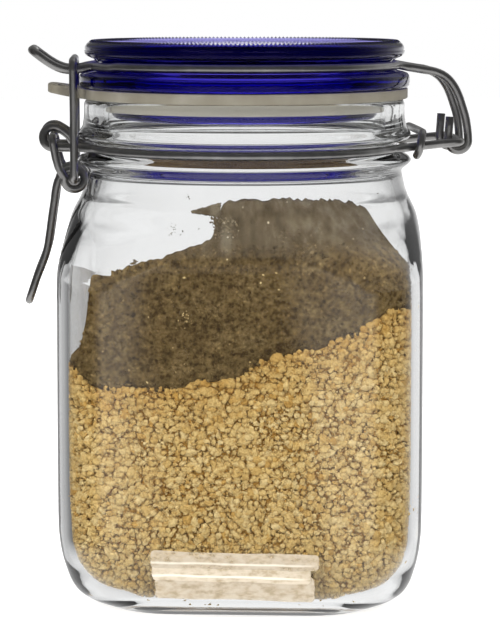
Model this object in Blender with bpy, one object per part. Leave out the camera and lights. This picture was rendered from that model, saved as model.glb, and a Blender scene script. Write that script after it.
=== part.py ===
"""Square glass storage jar with a clamped glass lid, filled with granules below and powder above.

Metres, +Z up. The origin is the middle of the jar's base. The wire frame's hinge is at +X and its
latch at -X, so every joint axis runs along +Y. The square body stands a few degrees round from
the wire frame, as the round neck lets it.
"""

import math

import bmesh
import bpy
from mathutils import Vector, noise

TAU = 2 * math.pi

# Jar body
BODY_CORNER = 0.0190
BASE_CORNER_EXTRA = 0.0028
BODY_TURN = math.radians(-5.5)
WALL = 0.0033
FLOOR_Z = 0.0044
CORNER_POINTS = 8

# Jar neck and mouth
WAIST_RADIUS = 0.0481
WAIST_Z = 0.1269
LOWER_BEAD_RADIUS = 0.0506
LOWER_BEAD_Z = 0.1317
NECK_GROOVE_RADIUS = 0.0462
NECK_GROOVE_Z = 0.1358
UPPER_BEAD_RADIUS = 0.0505
UPPER_BEAD_Z = 0.1391
RIM_RADIUS = 0.0486
RIM_Z = 0.1503
MOUTH_RADIUS = 0.0426

# Lid
LID_LAND_Z = 0.1533
LID_TOP_Z = 0.1676
PLUG_RADIUS = 0.0404
PLUG_Z = 0.1438
HOLLOW_RADIUS = 0.0344
HOLLOW_Z = 0.1612
FLANGE_RADIUS = 0.0500
LID_GROOVE_RADIUS = 0.0449
LID_ROLL_RADIUS = 0.0484
LID_RING_RADIUS = 0.0466
LID_SEGMENTS = 40

# Gasket
GASKET_INNER = 0.0411
GASKET_LIP_OUTER = 0.0421
GASKET_LIP_Z = 0.1480
GASKET_OUTER = 0.0494
GASKET_Z = (0.1506, 0.1530)
TAB_REACH = 0.0594
TAB_HALF_ANGLE = math.radians(10.0)
TAB_RISE = 0.0014
TAB_TAPER = 0.0005

# Wires
FRAME_WIRE = 0.00125
LATCH_WIRE = 0.00120
NECK_WIRE_RADIUS = 0.04785
LID_WIRE_RADIUS = 0.0466
LID_WIRE_Z = 0.1603

# Hinge, at +X
HINGE_X = 0.06415
HINGE_Z = 0.1376
HINGE_ARM_Y = 0.0090
HINGE_LOOP_RADIUS = 0.00305
NECK_ARM_Y = 0.0155
CLIP_X = 0.0524
CLIP_RADIUS = 0.0034
CLIP_LEAN = 0.0019

# Latch, at -X
EYE_Y = 0.0083
EYE_CENTRE = (-0.0578, 0.1389)
EYE_RADIUS = 0.0030
HOOK_Y = 0.0096
HOOK_VALLEY = (-0.0516, 0.1590)
LEVER_ARM_Y = 0.01235
HANDLE_Y = 0.0093
COIL_CENTRE = (-0.0515, 0.1265)
COIL_RADIUS = 0.00295
LINK_Y = 0.0151
LINK_BAR = (-0.0515, 0.1618)

# Contents
CONTENT_GAP = 0.0004
PERIMETER_POINTS = 56
GRANULE_SIZE = 0.0036
GRANULE_RELIEF = 0.0009
POWDER_SIZE = 0.0060
POWDER_RELIEF = 0.0005
POWDER_MIDDLE = 0.0970

# Tape on the front face
TAPE_HALF_WIDTH = 0.0240
TAPE_CENTRE = -0.0008
TAPE_Z = (0.0078, 0.0226)
TAPE_GAP = 0.0003
TAPE_THICKNESS = 0.0003


def clear_scene():
    for old in list(bpy.data.objects):
        bpy.data.objects.remove(old, do_unlink=True)


def material(name, colour, roughness, metallic=0.0, transmission=0.0):
    made = bpy.data.materials.new(name)
    made.use_nodes = True
    shader = made.node_tree.nodes["Principled BSDF"]
    shader.inputs["Base Color"].default_value = (*colour, 1.0)
    shader.inputs["Roughness"].default_value = roughness
    shader.inputs["Metallic"].default_value = metallic
    shader.inputs["Transmission Weight"].default_value = transmission
    return made


def smooth_step(value, start, end):
    t = min(1.0, max(0.0, (value - start) / (end - start)))
    return t * t * (3 - 2 * t)


def table(stops, value):
    """Read a height table of (height, size) by straight lines."""
    if value <= stops[0][0]:
        return stops[0][1]
    for (low, a), (high, b) in zip(stops, stops[1:]):
        if value <= high:
            return a + (b - a) * (value - low) / (high - low)
    return stops[-1][1]


def link_mesh(name, mesh_builder, finish, sharp_degrees=35):
    """Turn a finished bmesh into a named object, shaded smooth but for its sharp edges."""
    bmesh.ops.recalc_face_normals(mesh_builder, faces=mesh_builder.faces)
    mesh = bpy.data.meshes.new(name)
    mesh_builder.to_mesh(mesh)
    mesh_builder.free()
    mesh.materials.append(finish)
    mesh.shade_smooth()
    mesh.set_sharp_from_angle(angle=math.radians(sharp_degrees))
    made = bpy.data.objects.new(name, mesh)
    bpy.context.collection.objects.link(made)
    return made


def join_rings(builder, rings):
    """Skin a closed body through rings of equal length, capping the first and the last."""
    loops = [[builder.verts.new(point) for point in ring] for ring in rings]
    for lower, upper in zip(loops, loops[1:]):
        for i in range(len(lower)):
            j = (i + 1) % len(lower)
            builder.faces.new((lower[i], lower[j], upper[j], upper[i]))
    builder.faces.new(list(reversed(loops[0])))
    builder.faces.new(loops[-1])


def turn(x, y, angle):
    return x * math.cos(angle) - y * math.sin(angle), x * math.sin(angle) + y * math.cos(angle)


def square_ring(half, corner, z, corner_points=CORNER_POINTS):
    """A square of the given half width with round corners, which is a circle when they are equal."""
    ring = []
    for quarter in range(4):
        centre = Vector((half - corner, half - corner))
        for i in range(corner_points):
            angle = (i + 0.5) / corner_points * TAU / 4
            x = centre.x + corner * math.cos(angle)
            y = centre.y + corner * math.sin(angle)
            x, y = turn(x, y, quarter * TAU / 4 + BODY_TURN)
            ring.append((x, y, z))
    return ring


# The jar's half width at each height, outside and inside, from the middle to the flat of a side
OUTER_SIDE = [(0.0, 0.0413), (0.0006, 0.0430), (0.0016, 0.0446), (0.0032, 0.0471), (0.0055, 0.0493),
              (0.0085, 0.0508), (0.0120, 0.0518), (0.0160, 0.0527), (0.0210, 0.0534), (0.0280, 0.0538),
              (0.0900, 0.0535), (0.0980, 0.0534), (0.1020, 0.0534), (0.1050, 0.0534), (0.1080, 0.0533),
              (0.1105, 0.0532), (0.1130, 0.0529), (0.1150, 0.0525), (0.1170, 0.0518), (0.1190, 0.0508),
              (0.1210, 0.0498), (0.1235, 0.0489), (WAIST_Z, WAIST_RADIUS)]
INNER_SIDE = [(FLOOR_Z, 0.0385), (FLOOR_Z + 0.0012, 0.0428), (0.0085, 0.0458), (0.0120, 0.0476),
              (0.0170, 0.0491), (0.0240, 0.0500), (0.0380, 0.0504), (0.0900, 0.0502), (0.0980, 0.0501),
              (0.1020, 0.0501), (0.1055, 0.0500), (0.1085, 0.0499), (0.1115, 0.0497), (0.1140, 0.0492),
              (0.1165, 0.0484), (0.1190, 0.0473), (0.1215, 0.0461), (0.1245, 0.0451), (0.1290, 0.0440),
              (0.1400, 0.0430), (0.1488, MOUTH_RADIUS)]

# How far the plan has turned from a rounded square into a circle, by height
ROUNDNESS = [(0.0980, 0.0), (0.1020, 0.08), (0.1050, 0.26), (0.1080, 0.49), (0.1105, 0.68), (0.1130, 0.82),
             (0.1150, 0.90), (0.1170, 0.95), (0.1190, 0.98), (0.1210, 1.0)]
# The top of the granules along the front wall, by the distance from the jar's middle
LAYER_TOP = [(-0.0475, 0.0756), (-0.0430, 0.0716), (-0.0355, 0.0698), (-0.0310, 0.0708),
             (-0.0270, 0.0701), (-0.0190, 0.0702), (-0.0120, 0.0720), (0.0000, 0.0736), (0.0030, 0.0757),
             (0.0100, 0.0792), (0.0160, 0.0804), (0.0250, 0.0828), (0.0290, 0.0848), (0.0330, 0.0860),
             (0.0380, 0.0890), (0.0420, 0.0919), (0.0460, 0.0927), (0.0500, 0.0925)]
# The powder's top edge on the wall, by the direction in degrees from the jar's right side
POWDER_EDGE = [(-180.0, 0.0778), (-136.4, 0.0768), (-133.6, 0.0830), (-131.6, 0.0930), (-131.2, 0.1011),
               (-127.2, 0.1018), (-118.8, 0.1053), (-107.9, 0.1091), (-98.7, 0.1124), (-97.0, 0.1169),
               (-94.7, 0.1220), (-86.0, 0.1229), (-60.0, 0.1229), (-47.6, 0.1217), (-41.0, 0.1195),
               (-40.0, 0.1165), (-38.8, 0.1080), (-37.5, 0.1045), (-30.0, 0.1005), (0.0, 0.0975),
               (60.0, 0.0945), (110.0, 0.0905), (150.0, 0.0820), (180.0, 0.0778)]


def plan_at(z, sides, corner):
    """The half width and the corner radius of the jar's plan at one height."""
    half = table(sides, z)
    corner += BASE_CORNER_EXTRA * (1 - smooth_step(z, 0, 0.024))
    return half, min(half, corner + (half - corner) * table(ROUNDNESS, z))


def build_jar(finish):
    rings = [square_ring(*plan_at(z, OUTER_SIDE, BODY_CORNER), z) for z, _ in OUTER_SIDE]
    neck = [(LOWER_BEAD_RADIUS - 0.0022, LOWER_BEAD_Z - 0.0026), (LOWER_BEAD_RADIUS, LOWER_BEAD_Z - 0.0008),
            (LOWER_BEAD_RADIUS, LOWER_BEAD_Z + 0.0007), (NECK_GROOVE_RADIUS + 0.0004, NECK_GROOVE_Z - 0.0017),
            (NECK_GROOVE_RADIUS, NECK_GROOVE_Z), (NECK_GROOVE_RADIUS + 0.0004, NECK_GROOVE_Z + 0.0015),
            (UPPER_BEAD_RADIUS - 0.0013, UPPER_BEAD_Z - 0.0012), (UPPER_BEAD_RADIUS, UPPER_BEAD_Z),
            (UPPER_BEAD_RADIUS - 0.0004, UPPER_BEAD_Z + 0.0014), (RIM_RADIUS + 0.0003, UPPER_BEAD_Z + 0.0040),
            (RIM_RADIUS, RIM_Z - 0.0022), (RIM_RADIUS - 0.0008, RIM_Z - 0.0006), (RIM_RADIUS - 0.0022, RIM_Z),
            (MOUTH_RADIUS + 0.0016, RIM_Z), (MOUTH_RADIUS + 0.0004, RIM_Z - 0.0006)]
    for radius, z in neck:
        rings.append(square_ring(radius, radius, z))
    for z, _ in reversed(INNER_SIDE):
        rings.append(square_ring(*plan_at(z, INNER_SIDE, BODY_CORNER - WALL), z))
    builder = bmesh.new()
    join_rings(builder, rings)
    return link_mesh("jar_glass", builder, finish, 50)


def build_lid(finish):
    """A pressed glass lid, hollow below: plug, flange, wire groove, rolled edge and a ring on top."""
    profile = [(HOLLOW_RADIUS - 0.0040, HOLLOW_Z), (HOLLOW_RADIUS - 0.0014, HOLLOW_Z - 0.0020),
               (HOLLOW_RADIUS, PLUG_Z + 0.0060), (HOLLOW_RADIUS + 0.0008, PLUG_Z + 0.0016),
               (HOLLOW_RADIUS + 0.0026, PLUG_Z), (PLUG_RADIUS - 0.0010, PLUG_Z + 0.0010),
               (PLUG_RADIUS, PLUG_Z + 0.0030), (PLUG_RADIUS + 0.0003, LID_LAND_Z),
               (FLANGE_RADIUS - 0.0013, LID_LAND_Z), (FLANGE_RADIUS, LID_LAND_Z + 0.0014),
               (FLANGE_RADIUS, LID_LAND_Z + 0.0035), (FLANGE_RADIUS - 0.0008, LID_LAND_Z + 0.0046),
               (LID_WIRE_RADIUS, LID_WIRE_Z - FRAME_WIRE - 0.0007),
               (LID_GROOVE_RADIUS + 0.0002, LID_WIRE_Z - 0.0012),
               (LID_GROOVE_RADIUS, LID_WIRE_Z + 0.0012), (LID_ROLL_RADIUS - 0.0010, LID_TOP_Z - 0.0049),
               (LID_ROLL_RADIUS, LID_TOP_Z - 0.0036), (LID_ROLL_RADIUS - 0.0001, LID_TOP_Z - 0.0024),
               (LID_ROLL_RADIUS - 0.0008, LID_TOP_Z - 0.0009), (LID_RING_RADIUS, LID_TOP_Z),
               (LID_RING_RADIUS - 0.0012, LID_TOP_Z), (LID_RING_RADIUS - 0.0024, LID_TOP_Z - 0.0012)]
    rings = []
    for radius, z in profile:
        ring = []
        for i in range(LID_SEGMENTS):
            angle = TAU * i / LID_SEGMENTS
            ring.append((radius * math.cos(angle), radius * math.sin(angle), z))
        rings.append(ring)
    builder = bmesh.new()
    join_rings(builder, rings)
    return link_mesh("lid_glass", builder, finish, 50)


def tab_weight(angle):
    """1 along the tab's middle, falling to 0 at its round-cornered sides."""
    off = abs((angle - math.pi) / TAB_HALF_ANGLE)
    return 0.0 if off >= 1 else (1 - off ** 6) ** (1 / 6)


def build_gasket(finish):
    """A rubber ring with a lip down inside the mouth, and a pull tab that curls up at the latch."""
    angles = [TAU * i / 44 for i in range(44) if abs(i - 22) > 1]
    tab_steps = 8
    for i in range(-tab_steps, tab_steps + 1):
        angles.append(math.pi + TAB_HALF_ANGLE * math.sin(i / tab_steps * TAU / 4))
    angles.sort()
    low, high = GASKET_Z
    rings = [[], [], [], [], [], [], [], []]
    for angle in angles:
        weight = tab_weight(angle)
        root = GASKET_OUTER + 0.0010 * weight - 0.0006
        outer = GASKET_OUTER + (TAB_REACH - GASKET_OUTER) * weight
        rise = TAB_RISE * weight
        profile = [(GASKET_LIP_OUTER, low), (root, low), (outer, low + rise + TAB_TAPER * weight),
                   (outer, high + rise), (root, high), (GASKET_INNER, high),
                   (GASKET_INNER, GASKET_LIP_Z), (GASKET_LIP_OUTER, GASKET_LIP_Z)]
        for ring, (radius, z) in zip(rings, profile):
            ring.append((radius * math.cos(angle), radius * math.sin(angle), z))
    builder = bmesh.new()
    loops = [[builder.verts.new(point) for point in ring] for ring in rings]
    for k in range(8):
        first, second = loops[k], loops[(k + 1) % 8]
        for i in range(len(angles)):
            j = (i + 1) % len(angles)
            builder.faces.new((first[i], first[j], second[j], second[i]))
    return link_mesh("gasket", builder, finish, 30)


def rounded(corners, step=0.9):
    """A path through corners given as (point, bend radius), with each bend an arc in its own plane."""
    path = []
    points = [Vector(point) for point, _ in corners]
    for i, (point, radius) in enumerate(corners):
        here = Vector(point)
        if radius == 0 or i in (0, len(corners) - 1):
            path.append(here)
            continue
        back = (points[i - 1] - here).normalized()
        ahead = (points[i + 1] - here).normalized()
        half = back.angle(ahead) / 2
        if half > math.radians(88):
            path.append(here)
            continue
        reach = radius / math.tan(half)
        centre = here + (back + ahead).normalized() * radius / math.sin(half)
        start = here + back * reach - centre
        end = here + ahead * reach - centre
        sweep = start.angle(end)
        steps = max(1, round(sweep / math.radians(30 * step)))
        for k in range(steps + 1):
            t = k / steps
            weight = math.sin((1 - t) * sweep) / math.sin(sweep), math.sin(t * sweep) / math.sin(sweep)
            path.append(centre + start * weight[0] + end * weight[1])
    return path


def arc(centre_x, centre_z, radius, start, end, steps, y_start, y_end):
    """Points on an arc seen from the front, in degrees, drifting from one depth to another."""
    points = []
    for i in range(steps + 1):
        t = i / steps
        angle = math.radians(start + (end - start) * t)
        points.append(Vector((centre_x + radius * math.cos(angle), y_start + (y_end - y_start) * t,
                              centre_z + radius * math.sin(angle))))
    return points


def ring_arc(radius, z, start, end, steps):
    """Points round the neck, in degrees from +X."""
    points = []
    for i in range(steps + 1):
        angle = math.radians(start + (end - start) * i / steps)
        points.append(Vector((radius * math.cos(angle), radius * math.sin(angle), z)))
    return points


def far_side(points):
    """The same points on the far side of the frame, in the order that carries a wire on."""
    return [Vector((p.x, -p.y, p.z)) for p in reversed(points)]


def wire(name, points, radius, finish, closed=False):
    """A bent wire: a round bevel along a path, with filled ends."""
    kept = []
    for point in points:
        if not kept or (point - kept[-1]).length > 0.0003:
            kept.append(point)
    curve = bpy.data.curves.new(name, "CURVE")
    curve.dimensions = "3D"
    curve.bevel_depth = radius
    curve.bevel_resolution = 2
    curve.use_fill_caps = not closed
    spline = curve.splines.new("POLY")
    spline.points.add(len(kept) - 1)
    for spot, point in zip(spline.points, kept):
        spot.co = (*point, 1.0)
    spline.use_cyclic_u = closed
    spline.use_smooth = True
    curve.materials.append(finish)
    made = bpy.data.objects.new(name, curve)
    bpy.context.collection.objects.link(made)
    return made


def build_neck_wire(finish):
    """One wire round the neck: a U that carries the hinge bar, two front runs and two latch eyes."""
    eye_x, eye_z = EYE_CENTRE
    low_y = EYE_Y + 0.0013
    high_y = EYE_Y - 0.0015
    leave = math.degrees(math.asin(NECK_ARM_Y / NECK_WIRE_RADIUS)) + 5.5
    near = rounded([((HINGE_X, 0, HINGE_Z), 0), ((HINGE_X, -NECK_ARM_Y, HINGE_Z), 0.0026),
                    ((0.0575, -NECK_ARM_Y, 0.1370), 0), ((0.0500, -NECK_ARM_Y, 0.1362), 0.006),
                    (ring_arc(NECK_WIRE_RADIUS, NECK_GROOVE_Z, -leave, 0, 1)[0], 0)])
    near += ring_arc(NECK_WIRE_RADIUS, NECK_GROOVE_Z, -leave, -162, 16)
    near.append(Vector((-0.0482, -low_y - 0.0016, NECK_GROOVE_Z)))
    near.append(Vector((-0.0510, -low_y, NECK_GROOVE_Z)))
    near += arc(eye_x, eye_z, EYE_RADIUS, 270, 60, 10, -low_y, -high_y)
    near.append(Vector((-0.0533, -high_y, 0.1394)))
    near.append(Vector((-0.0518, -high_y + 0.0002, 0.1374)))
    near.append(Vector((-0.0499, -high_y + 0.0006, 0.1362)))
    near.append(Vector((-0.0478, -0.0055, NECK_GROOVE_Z)))
    near.append(Vector((-NECK_WIRE_RADIUS, -0.0020, NECK_GROOVE_Z)))
    return wire("neck_wire", near + far_side(near)[:-1], FRAME_WIRE, finish, closed=True)


def build_neck_clip(finish):
    """A yoke that lies over the two hinge-side arms and is wrapped down and under each of them."""
    bar_z = 0.1369
    end = arc(0, 0, CLIP_RADIUS, -70, 90, 7, 0, 0)
    near = [Vector((CLIP_X - CLIP_LEAN * (1 - i / 7), -NECK_ARM_Y - point.x, bar_z + point.z * 1.03))
            for i, point in enumerate(end)]
    return wire("neck_clip", near + far_side(near), LATCH_WIRE, finish)


def build_lid_wire(finish):
    """One wire round the lid: J hooks on the hinge bar, arms, two runs in the groove and the hook."""
    loop = arc(HINGE_X - 0.00005, HINGE_Z, HINGE_LOOP_RADIUS, 180, 360, 7, -HINGE_ARM_Y, -HINGE_ARM_Y)
    near = [Vector((0.0615, -HINGE_ARM_Y, 0.1447))] + loop
    near += [Vector((x, -HINGE_ARM_Y, z)) for x, z in
             ((0.0664, 0.1437), (0.0651, 0.1480), (0.0639, 0.1513), (0.0624, 0.1541), (0.0600, 0.1567),
              (0.0568, 0.1582), (0.0535, 0.1588), (0.0505, 0.1593))]
    leave = math.degrees(math.asin((HINGE_ARM_Y + 0.0026) / LID_WIRE_RADIUS))
    near.append(Vector((0.0478, -HINGE_ARM_Y - 0.0006, 0.1598)))
    ring = ring_arc(LID_WIRE_RADIUS, LID_WIRE_Z, -leave, -180 + leave, 17)
    for point in ring[-2:]:
        point.z -= 0.0003
    near += ring
    near.append(Vector((-0.0478, -HOOK_Y - 0.0004, 0.1596)))
    valley_x, valley_z = HOOK_VALLEY
    near += [Vector((x, -HOOK_Y, z)) for x, z in
             ((valley_x + 0.0020, valley_z + 0.0002), (valley_x - 0.0017, valley_z), (-0.0560, 0.1597),
              (-0.0588, 0.1612), (-0.0612, 0.1629))]
    near += rounded([((-0.0612, -HOOK_Y, 0.1629), 0), ((-0.0637, -HOOK_Y, 0.1648), 0.0034),
                     ((-0.0637, 0, 0.1648), 0)])[1:]
    return wire("lid_wire", near + far_side(near)[1:], FRAME_WIRE, finish)


def build_lever(finish):
    """One wire: ends bent in through the neck eyes, a turn for the link on each side, and the handle."""
    pivot_x, pivot_z = EYE_CENTRE[0] - 0.0002, EYE_CENTRE[1] - 0.0001
    near = rounded([((pivot_x, -EYE_Y + 0.0040, pivot_z), 0), ((pivot_x, -LEVER_ARM_Y, pivot_z), 0.0016),
                    ((-0.0562, -LEVER_ARM_Y, 0.1303), 0)])
    coil_x, coil_z = COIL_CENTRE
    near += arc(coil_x, coil_z, COIL_RADIUS, 170, 470, 13, -LEVER_ARM_Y, -HANDLE_Y)
    near += [Vector((x, -HANDLE_Y, z)) for x, z in
             ((-0.0546, 0.1286), (-0.0561, 0.1267), (-0.0570, 0.1240), (-0.0576, 0.1200), (-0.0584, 0.1150),
              (-0.0592, 0.1095), (-0.0600, 0.1052), (-0.0613, 0.1014), (-0.0632, 0.0967))]
    near += rounded([((-0.0632, -HANDLE_Y, 0.0967), 0), ((-0.0657, -HANDLE_Y, 0.0894), 0.0042),
                     ((-0.0657, 0, 0.0894), 0)])[1:]
    return wire("lever_wire", near + far_side(near)[1:], LATCH_WIRE, finish)


def build_link(finish):
    """A wire hoop: its bar lies in the lid hook and its ends are bent in through the lever's turns."""
    bar_x, bar_z = LINK_BAR
    coil_x, coil_z = COIL_CENTRE
    near = rounded([((coil_x, -HANDLE_Y + 0.0030, coil_z), 0), ((coil_x, -LINK_Y, coil_z), 0.0014),
                    ((coil_x + 0.0001, -LINK_Y, 0.1450), 0), ((bar_x, -LINK_Y, bar_z), 0.0030),
                    ((bar_x, 0, bar_z), 0)])
    # The ends stand apart in the middle, so each keeps clear of the other
    return wire("link_wire", near + far_side(near)[1:], LATCH_WIRE, finish)


def wall_plan(z, inset):
    """The plan of the cavity at one height, drawn in by the inset."""
    half, corner = plan_at(z, INNER_SIDE, BODY_CORNER - WALL)
    return half - inset, max(0.004, corner - inset)


def perimeter_point(index, z, inset):
    """A point on the cavity's plan, spaced evenly enough for a skin of small facets."""
    half, corner = wall_plan(z, inset)
    flat = 2 * (half - corner)
    bend = corner * TAU / 4
    side = flat + bend
    along = index / PERIMETER_POINTS * 4 * side
    quarter = int(along // side)
    along -= quarter * side
    if along < flat:
        x, y = half, -flat / 2 + along
    else:
        angle = (along - flat) / corner
        x = half - corner + corner * math.cos(angle)
        y = half - corner + corner * math.sin(angle)
    return turn(x, y, quarter * TAU / 4 + BODY_TURN)


def layer_height(x, y, toward_wall=1.0):
    """The top of the granules: a dip at the left of the front wall and a rise to the right."""
    across = x * math.cos(BODY_TURN) + y * math.sin(BODY_TURN)
    return table(LAYER_TOP, across) - 0.02 * (y + 0.05)


def powder_height(x, y, toward_wall=1.0):
    """The top of the powder: banked up against the front wall, and lower round the sides and the back."""
    from_right = math.degrees(math.remainder(math.atan2(y, x) - BODY_TURN, TAU))
    edge = table(POWDER_EDGE, from_right)
    return POWDER_MIDDLE + (edge - POWDER_MIDDLE) * toward_wall ** 2.5


def lumps(x, y, z, size, relief):
    return relief * (0.5 + 0.5 * noise.noise(Vector((x, y, z)) / size))


def content_rings(floor, top, rows, top_rows, size, relief):
    """Rings up the wall from one surface to another, then in across the upper one."""
    rings = []
    for row in range(rows + 1):
        ring = []
        for i in range(PERIMETER_POINTS):
            guess = 0.08
            for _ in range(3):
                x, y = perimeter_point(i, guess, CONTENT_GAP)
                low, high = floor(x, y), top(x, y)
                guess = low + (high - low) * row / rows
            inset = CONTENT_GAP * (2 if row == 0 else 1) + lumps(x, y, guess, size, relief)
            x, y = perimeter_point(i, guess, inset)
            ring.append((x, y, guess))
        rings.append(ring)
    rim = rings[-1]
    for row in range(1, top_rows + 1):
        scale = 1 - row / (top_rows + 0.35)
        ring = []
        for x, y, _ in rim:
            x, y = x * scale, y * scale
            ring.append((x, y, top(x, y, scale) - lumps(x, y, 0.3, size, relief)))
        rings.append(ring)
    return rings


def under_rings(surface, rim, rows):
    """Rings across a lower surface, from its middle out to just inside the rim."""
    rings = []
    for row in range(rows, 0, -1):
        scale = 1 - row / (rows + 0.35)
        rings.append([(x * scale, y * scale, surface(x * scale, y * scale)) for x, y, _ in rim])
    return rings


def build_granules(finish):
    def floor(x, y):
        return FLOOR_Z + 2 * CONTENT_GAP

    rings = content_rings(floor, layer_height, 17, 3, GRANULE_SIZE, GRANULE_RELIEF)
    builder = bmesh.new()
    join_rings(builder, rings)
    return link_mesh("granules", builder, finish, 60)


def build_powder(finish):
    def floor(x, y):
        return layer_height(x, y) + 3 * CONTENT_GAP

    rings = content_rings(floor, powder_height, 9, 4, POWDER_SIZE, POWDER_RELIEF)
    builder = bmesh.new()
    join_rings(builder, under_rings(floor, rings[0], 3) + rings)
    return link_mesh("powder", builder, finish, 60)


def front_wall(x, z, off):
    """A point off the jar's front face, which curves in at the heel."""
    half = table(OUTER_SIDE, z)
    lean = math.atan2(table(OUTER_SIDE, z + 0.002) - table(OUTER_SIDE, z - 0.002), 0.004)
    x, y = turn(x, -half - off * math.cos(lean), BODY_TURN)
    return x, y, z - off * math.sin(lean)


def build_tape(finish):
    """A strip of clear tape, laid on the front face near the heel."""
    columns, rows = 4, 5
    builder = bmesh.new()
    sheets = []
    for off in (TAPE_GAP, TAPE_GAP + TAPE_THICKNESS):
        sheet = []
        for row in range(rows + 1):
            z = TAPE_Z[0] + (TAPE_Z[1] - TAPE_Z[0]) * row / rows
            line = []
            for column in range(columns + 1):
                x = TAPE_CENTRE + TAPE_HALF_WIDTH * (2 * column / columns - 1)
                line.append(builder.verts.new(front_wall(x, z, off)))
            sheet.append(line)
        sheets.append(sheet)
    inner, outer = sheets
    for row in range(rows):
        for column in range(columns):
            for sheet in sheets:
                builder.faces.new((sheet[row][column], sheet[row][column + 1],
                                   sheet[row + 1][column + 1], sheet[row + 1][column]))
    for row in range(rows):
        for column in (0, columns):
            builder.faces.new((inner[row][column], inner[row + 1][column],
                               outer[row + 1][column], outer[row][column]))
    for column in range(columns):
        for row in (0, rows):
            builder.faces.new((inner[row][column], inner[row][column + 1],
                               outer[row][column + 1], outer[row][column]))
    return link_mesh("tape_strip", builder, finish)


def set_pivot(piece, x, z):
    """Put a moving piece's origin on its joint's axis."""
    shift = Vector((x, 0, z))
    if piece.type == "CURVE":
        for spot in piece.data.splines[0].points:
            spot.co = (spot.co.x - x, spot.co.y, spot.co.z - z, 1.0)
    else:
        for vertex in piece.data.vertices:
            vertex.co -= shift
    piece.location = shift


def main():
    clear_scene()
    clear_glass = material("clear_glass", (0.93, 0.95, 0.95), 0.03, transmission=1.0)
    blue_glass = material("cobalt_glass", (0.03, 0.02, 0.32), 0.05, transmission=0.8)
    rubber = material("cream_rubber", (0.42, 0.38, 0.28), 0.6)
    steel = material("dull_steel", (0.32, 0.32, 0.31), 0.35, metallic=1.0)
    grain = material("tan_granules", (0.60, 0.45, 0.20), 0.8)
    brown = material("brown_powder", (0.17, 0.13, 0.09), 0.95)
    tape = material("cream_tape", (0.85, 0.76, 0.60), 0.3, transmission=0.3)

    build_jar(clear_glass)
    build_granules(grain)
    build_powder(brown)
    build_tape(tape)
    build_neck_wire(steel)
    build_neck_clip(steel)
    for piece in (build_lid(blue_glass), build_gasket(rubber), build_lid_wire(steel)):
        set_pivot(piece, HINGE_X, HINGE_Z)
    set_pivot(build_lever(steel), *EYE_CENTRE)
    set_pivot(build_link(steel), *COIL_CENTRE)


main()
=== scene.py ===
import math
import random

import bmesh
import bpy
import numpy as np
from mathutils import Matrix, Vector, noise


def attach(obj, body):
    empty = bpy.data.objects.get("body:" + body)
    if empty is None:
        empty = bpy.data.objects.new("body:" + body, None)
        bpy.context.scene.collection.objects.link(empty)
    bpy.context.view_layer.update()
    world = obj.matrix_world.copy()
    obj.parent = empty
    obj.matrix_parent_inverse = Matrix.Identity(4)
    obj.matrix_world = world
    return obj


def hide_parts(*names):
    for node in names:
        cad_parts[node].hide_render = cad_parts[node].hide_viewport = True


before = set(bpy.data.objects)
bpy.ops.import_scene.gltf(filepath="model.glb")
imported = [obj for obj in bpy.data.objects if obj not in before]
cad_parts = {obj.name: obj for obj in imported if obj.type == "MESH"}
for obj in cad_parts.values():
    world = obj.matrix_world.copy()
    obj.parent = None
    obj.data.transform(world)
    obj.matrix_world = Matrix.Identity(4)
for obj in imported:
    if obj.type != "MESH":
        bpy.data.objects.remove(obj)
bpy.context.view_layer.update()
bpy.ops.object.select_all(action="DESELECT")


# ---------------------------------------------------------------- Jar
# A pressed clear glass jar, square in plan, whose shoulder turns into a round neck with two beads.
# Outside and inside are one closed skin, drawn up from the underside, over the rim and down again.

BODY_TURN = math.radians(-5.5)
BODY_CORNER = 0.0190
HEEL_CORNER_EXTRA, HEEL_TOP = 0.0028, 0.024
WALL = 0.0033
FLOOR_Z = 0.0044
WAIST_RADIUS, WAIST_Z = 0.0481, 0.1269
RIM_Z = 0.1503
MOUTH_RADIUS = 0.0426

# Half the jar's width at each height, outside and inside
OUTER_SIDE = [
    (0.0, 0.0413), (0.0006, 0.0430), (0.0016, 0.0446), (0.0032, 0.0471), (0.0055, 0.0493),
    (0.0085, 0.0508), (0.0120, 0.0518), (0.0160, 0.0527), (0.0210, 0.0534), (0.0280, 0.0538),
    (0.0900, 0.0535), (0.0980, 0.0534), (0.1020, 0.0534), (0.1050, 0.0534), (0.1080, 0.0533),
    (0.1105, 0.0532), (0.1130, 0.0529), (0.1150, 0.0525), (0.1170, 0.0518), (0.1190, 0.0508),
    (0.1210, 0.0498), (0.1235, 0.0489), (WAIST_Z, WAIST_RADIUS)]
INNER_SIDE = [
    (FLOOR_Z, 0.0385), (FLOOR_Z + 0.0012, 0.0428), (0.0085, 0.0458), (0.0120, 0.0476), (0.0170, 0.0491),
    (0.0240, 0.0500), (0.0380, 0.0504), (0.0900, 0.0502), (0.0980, 0.0501), (0.1020, 0.0501),
    (0.1055, 0.0500), (0.1085, 0.0499), (0.1115, 0.0497), (0.1140, 0.0492), (0.1165, 0.0484),
    (0.1190, 0.0473), (0.1215, 0.0461), (0.1245, 0.0451), (0.1290, 0.0440), (0.1400, 0.0430),
    (0.1488, MOUTH_RADIUS)]
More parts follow.
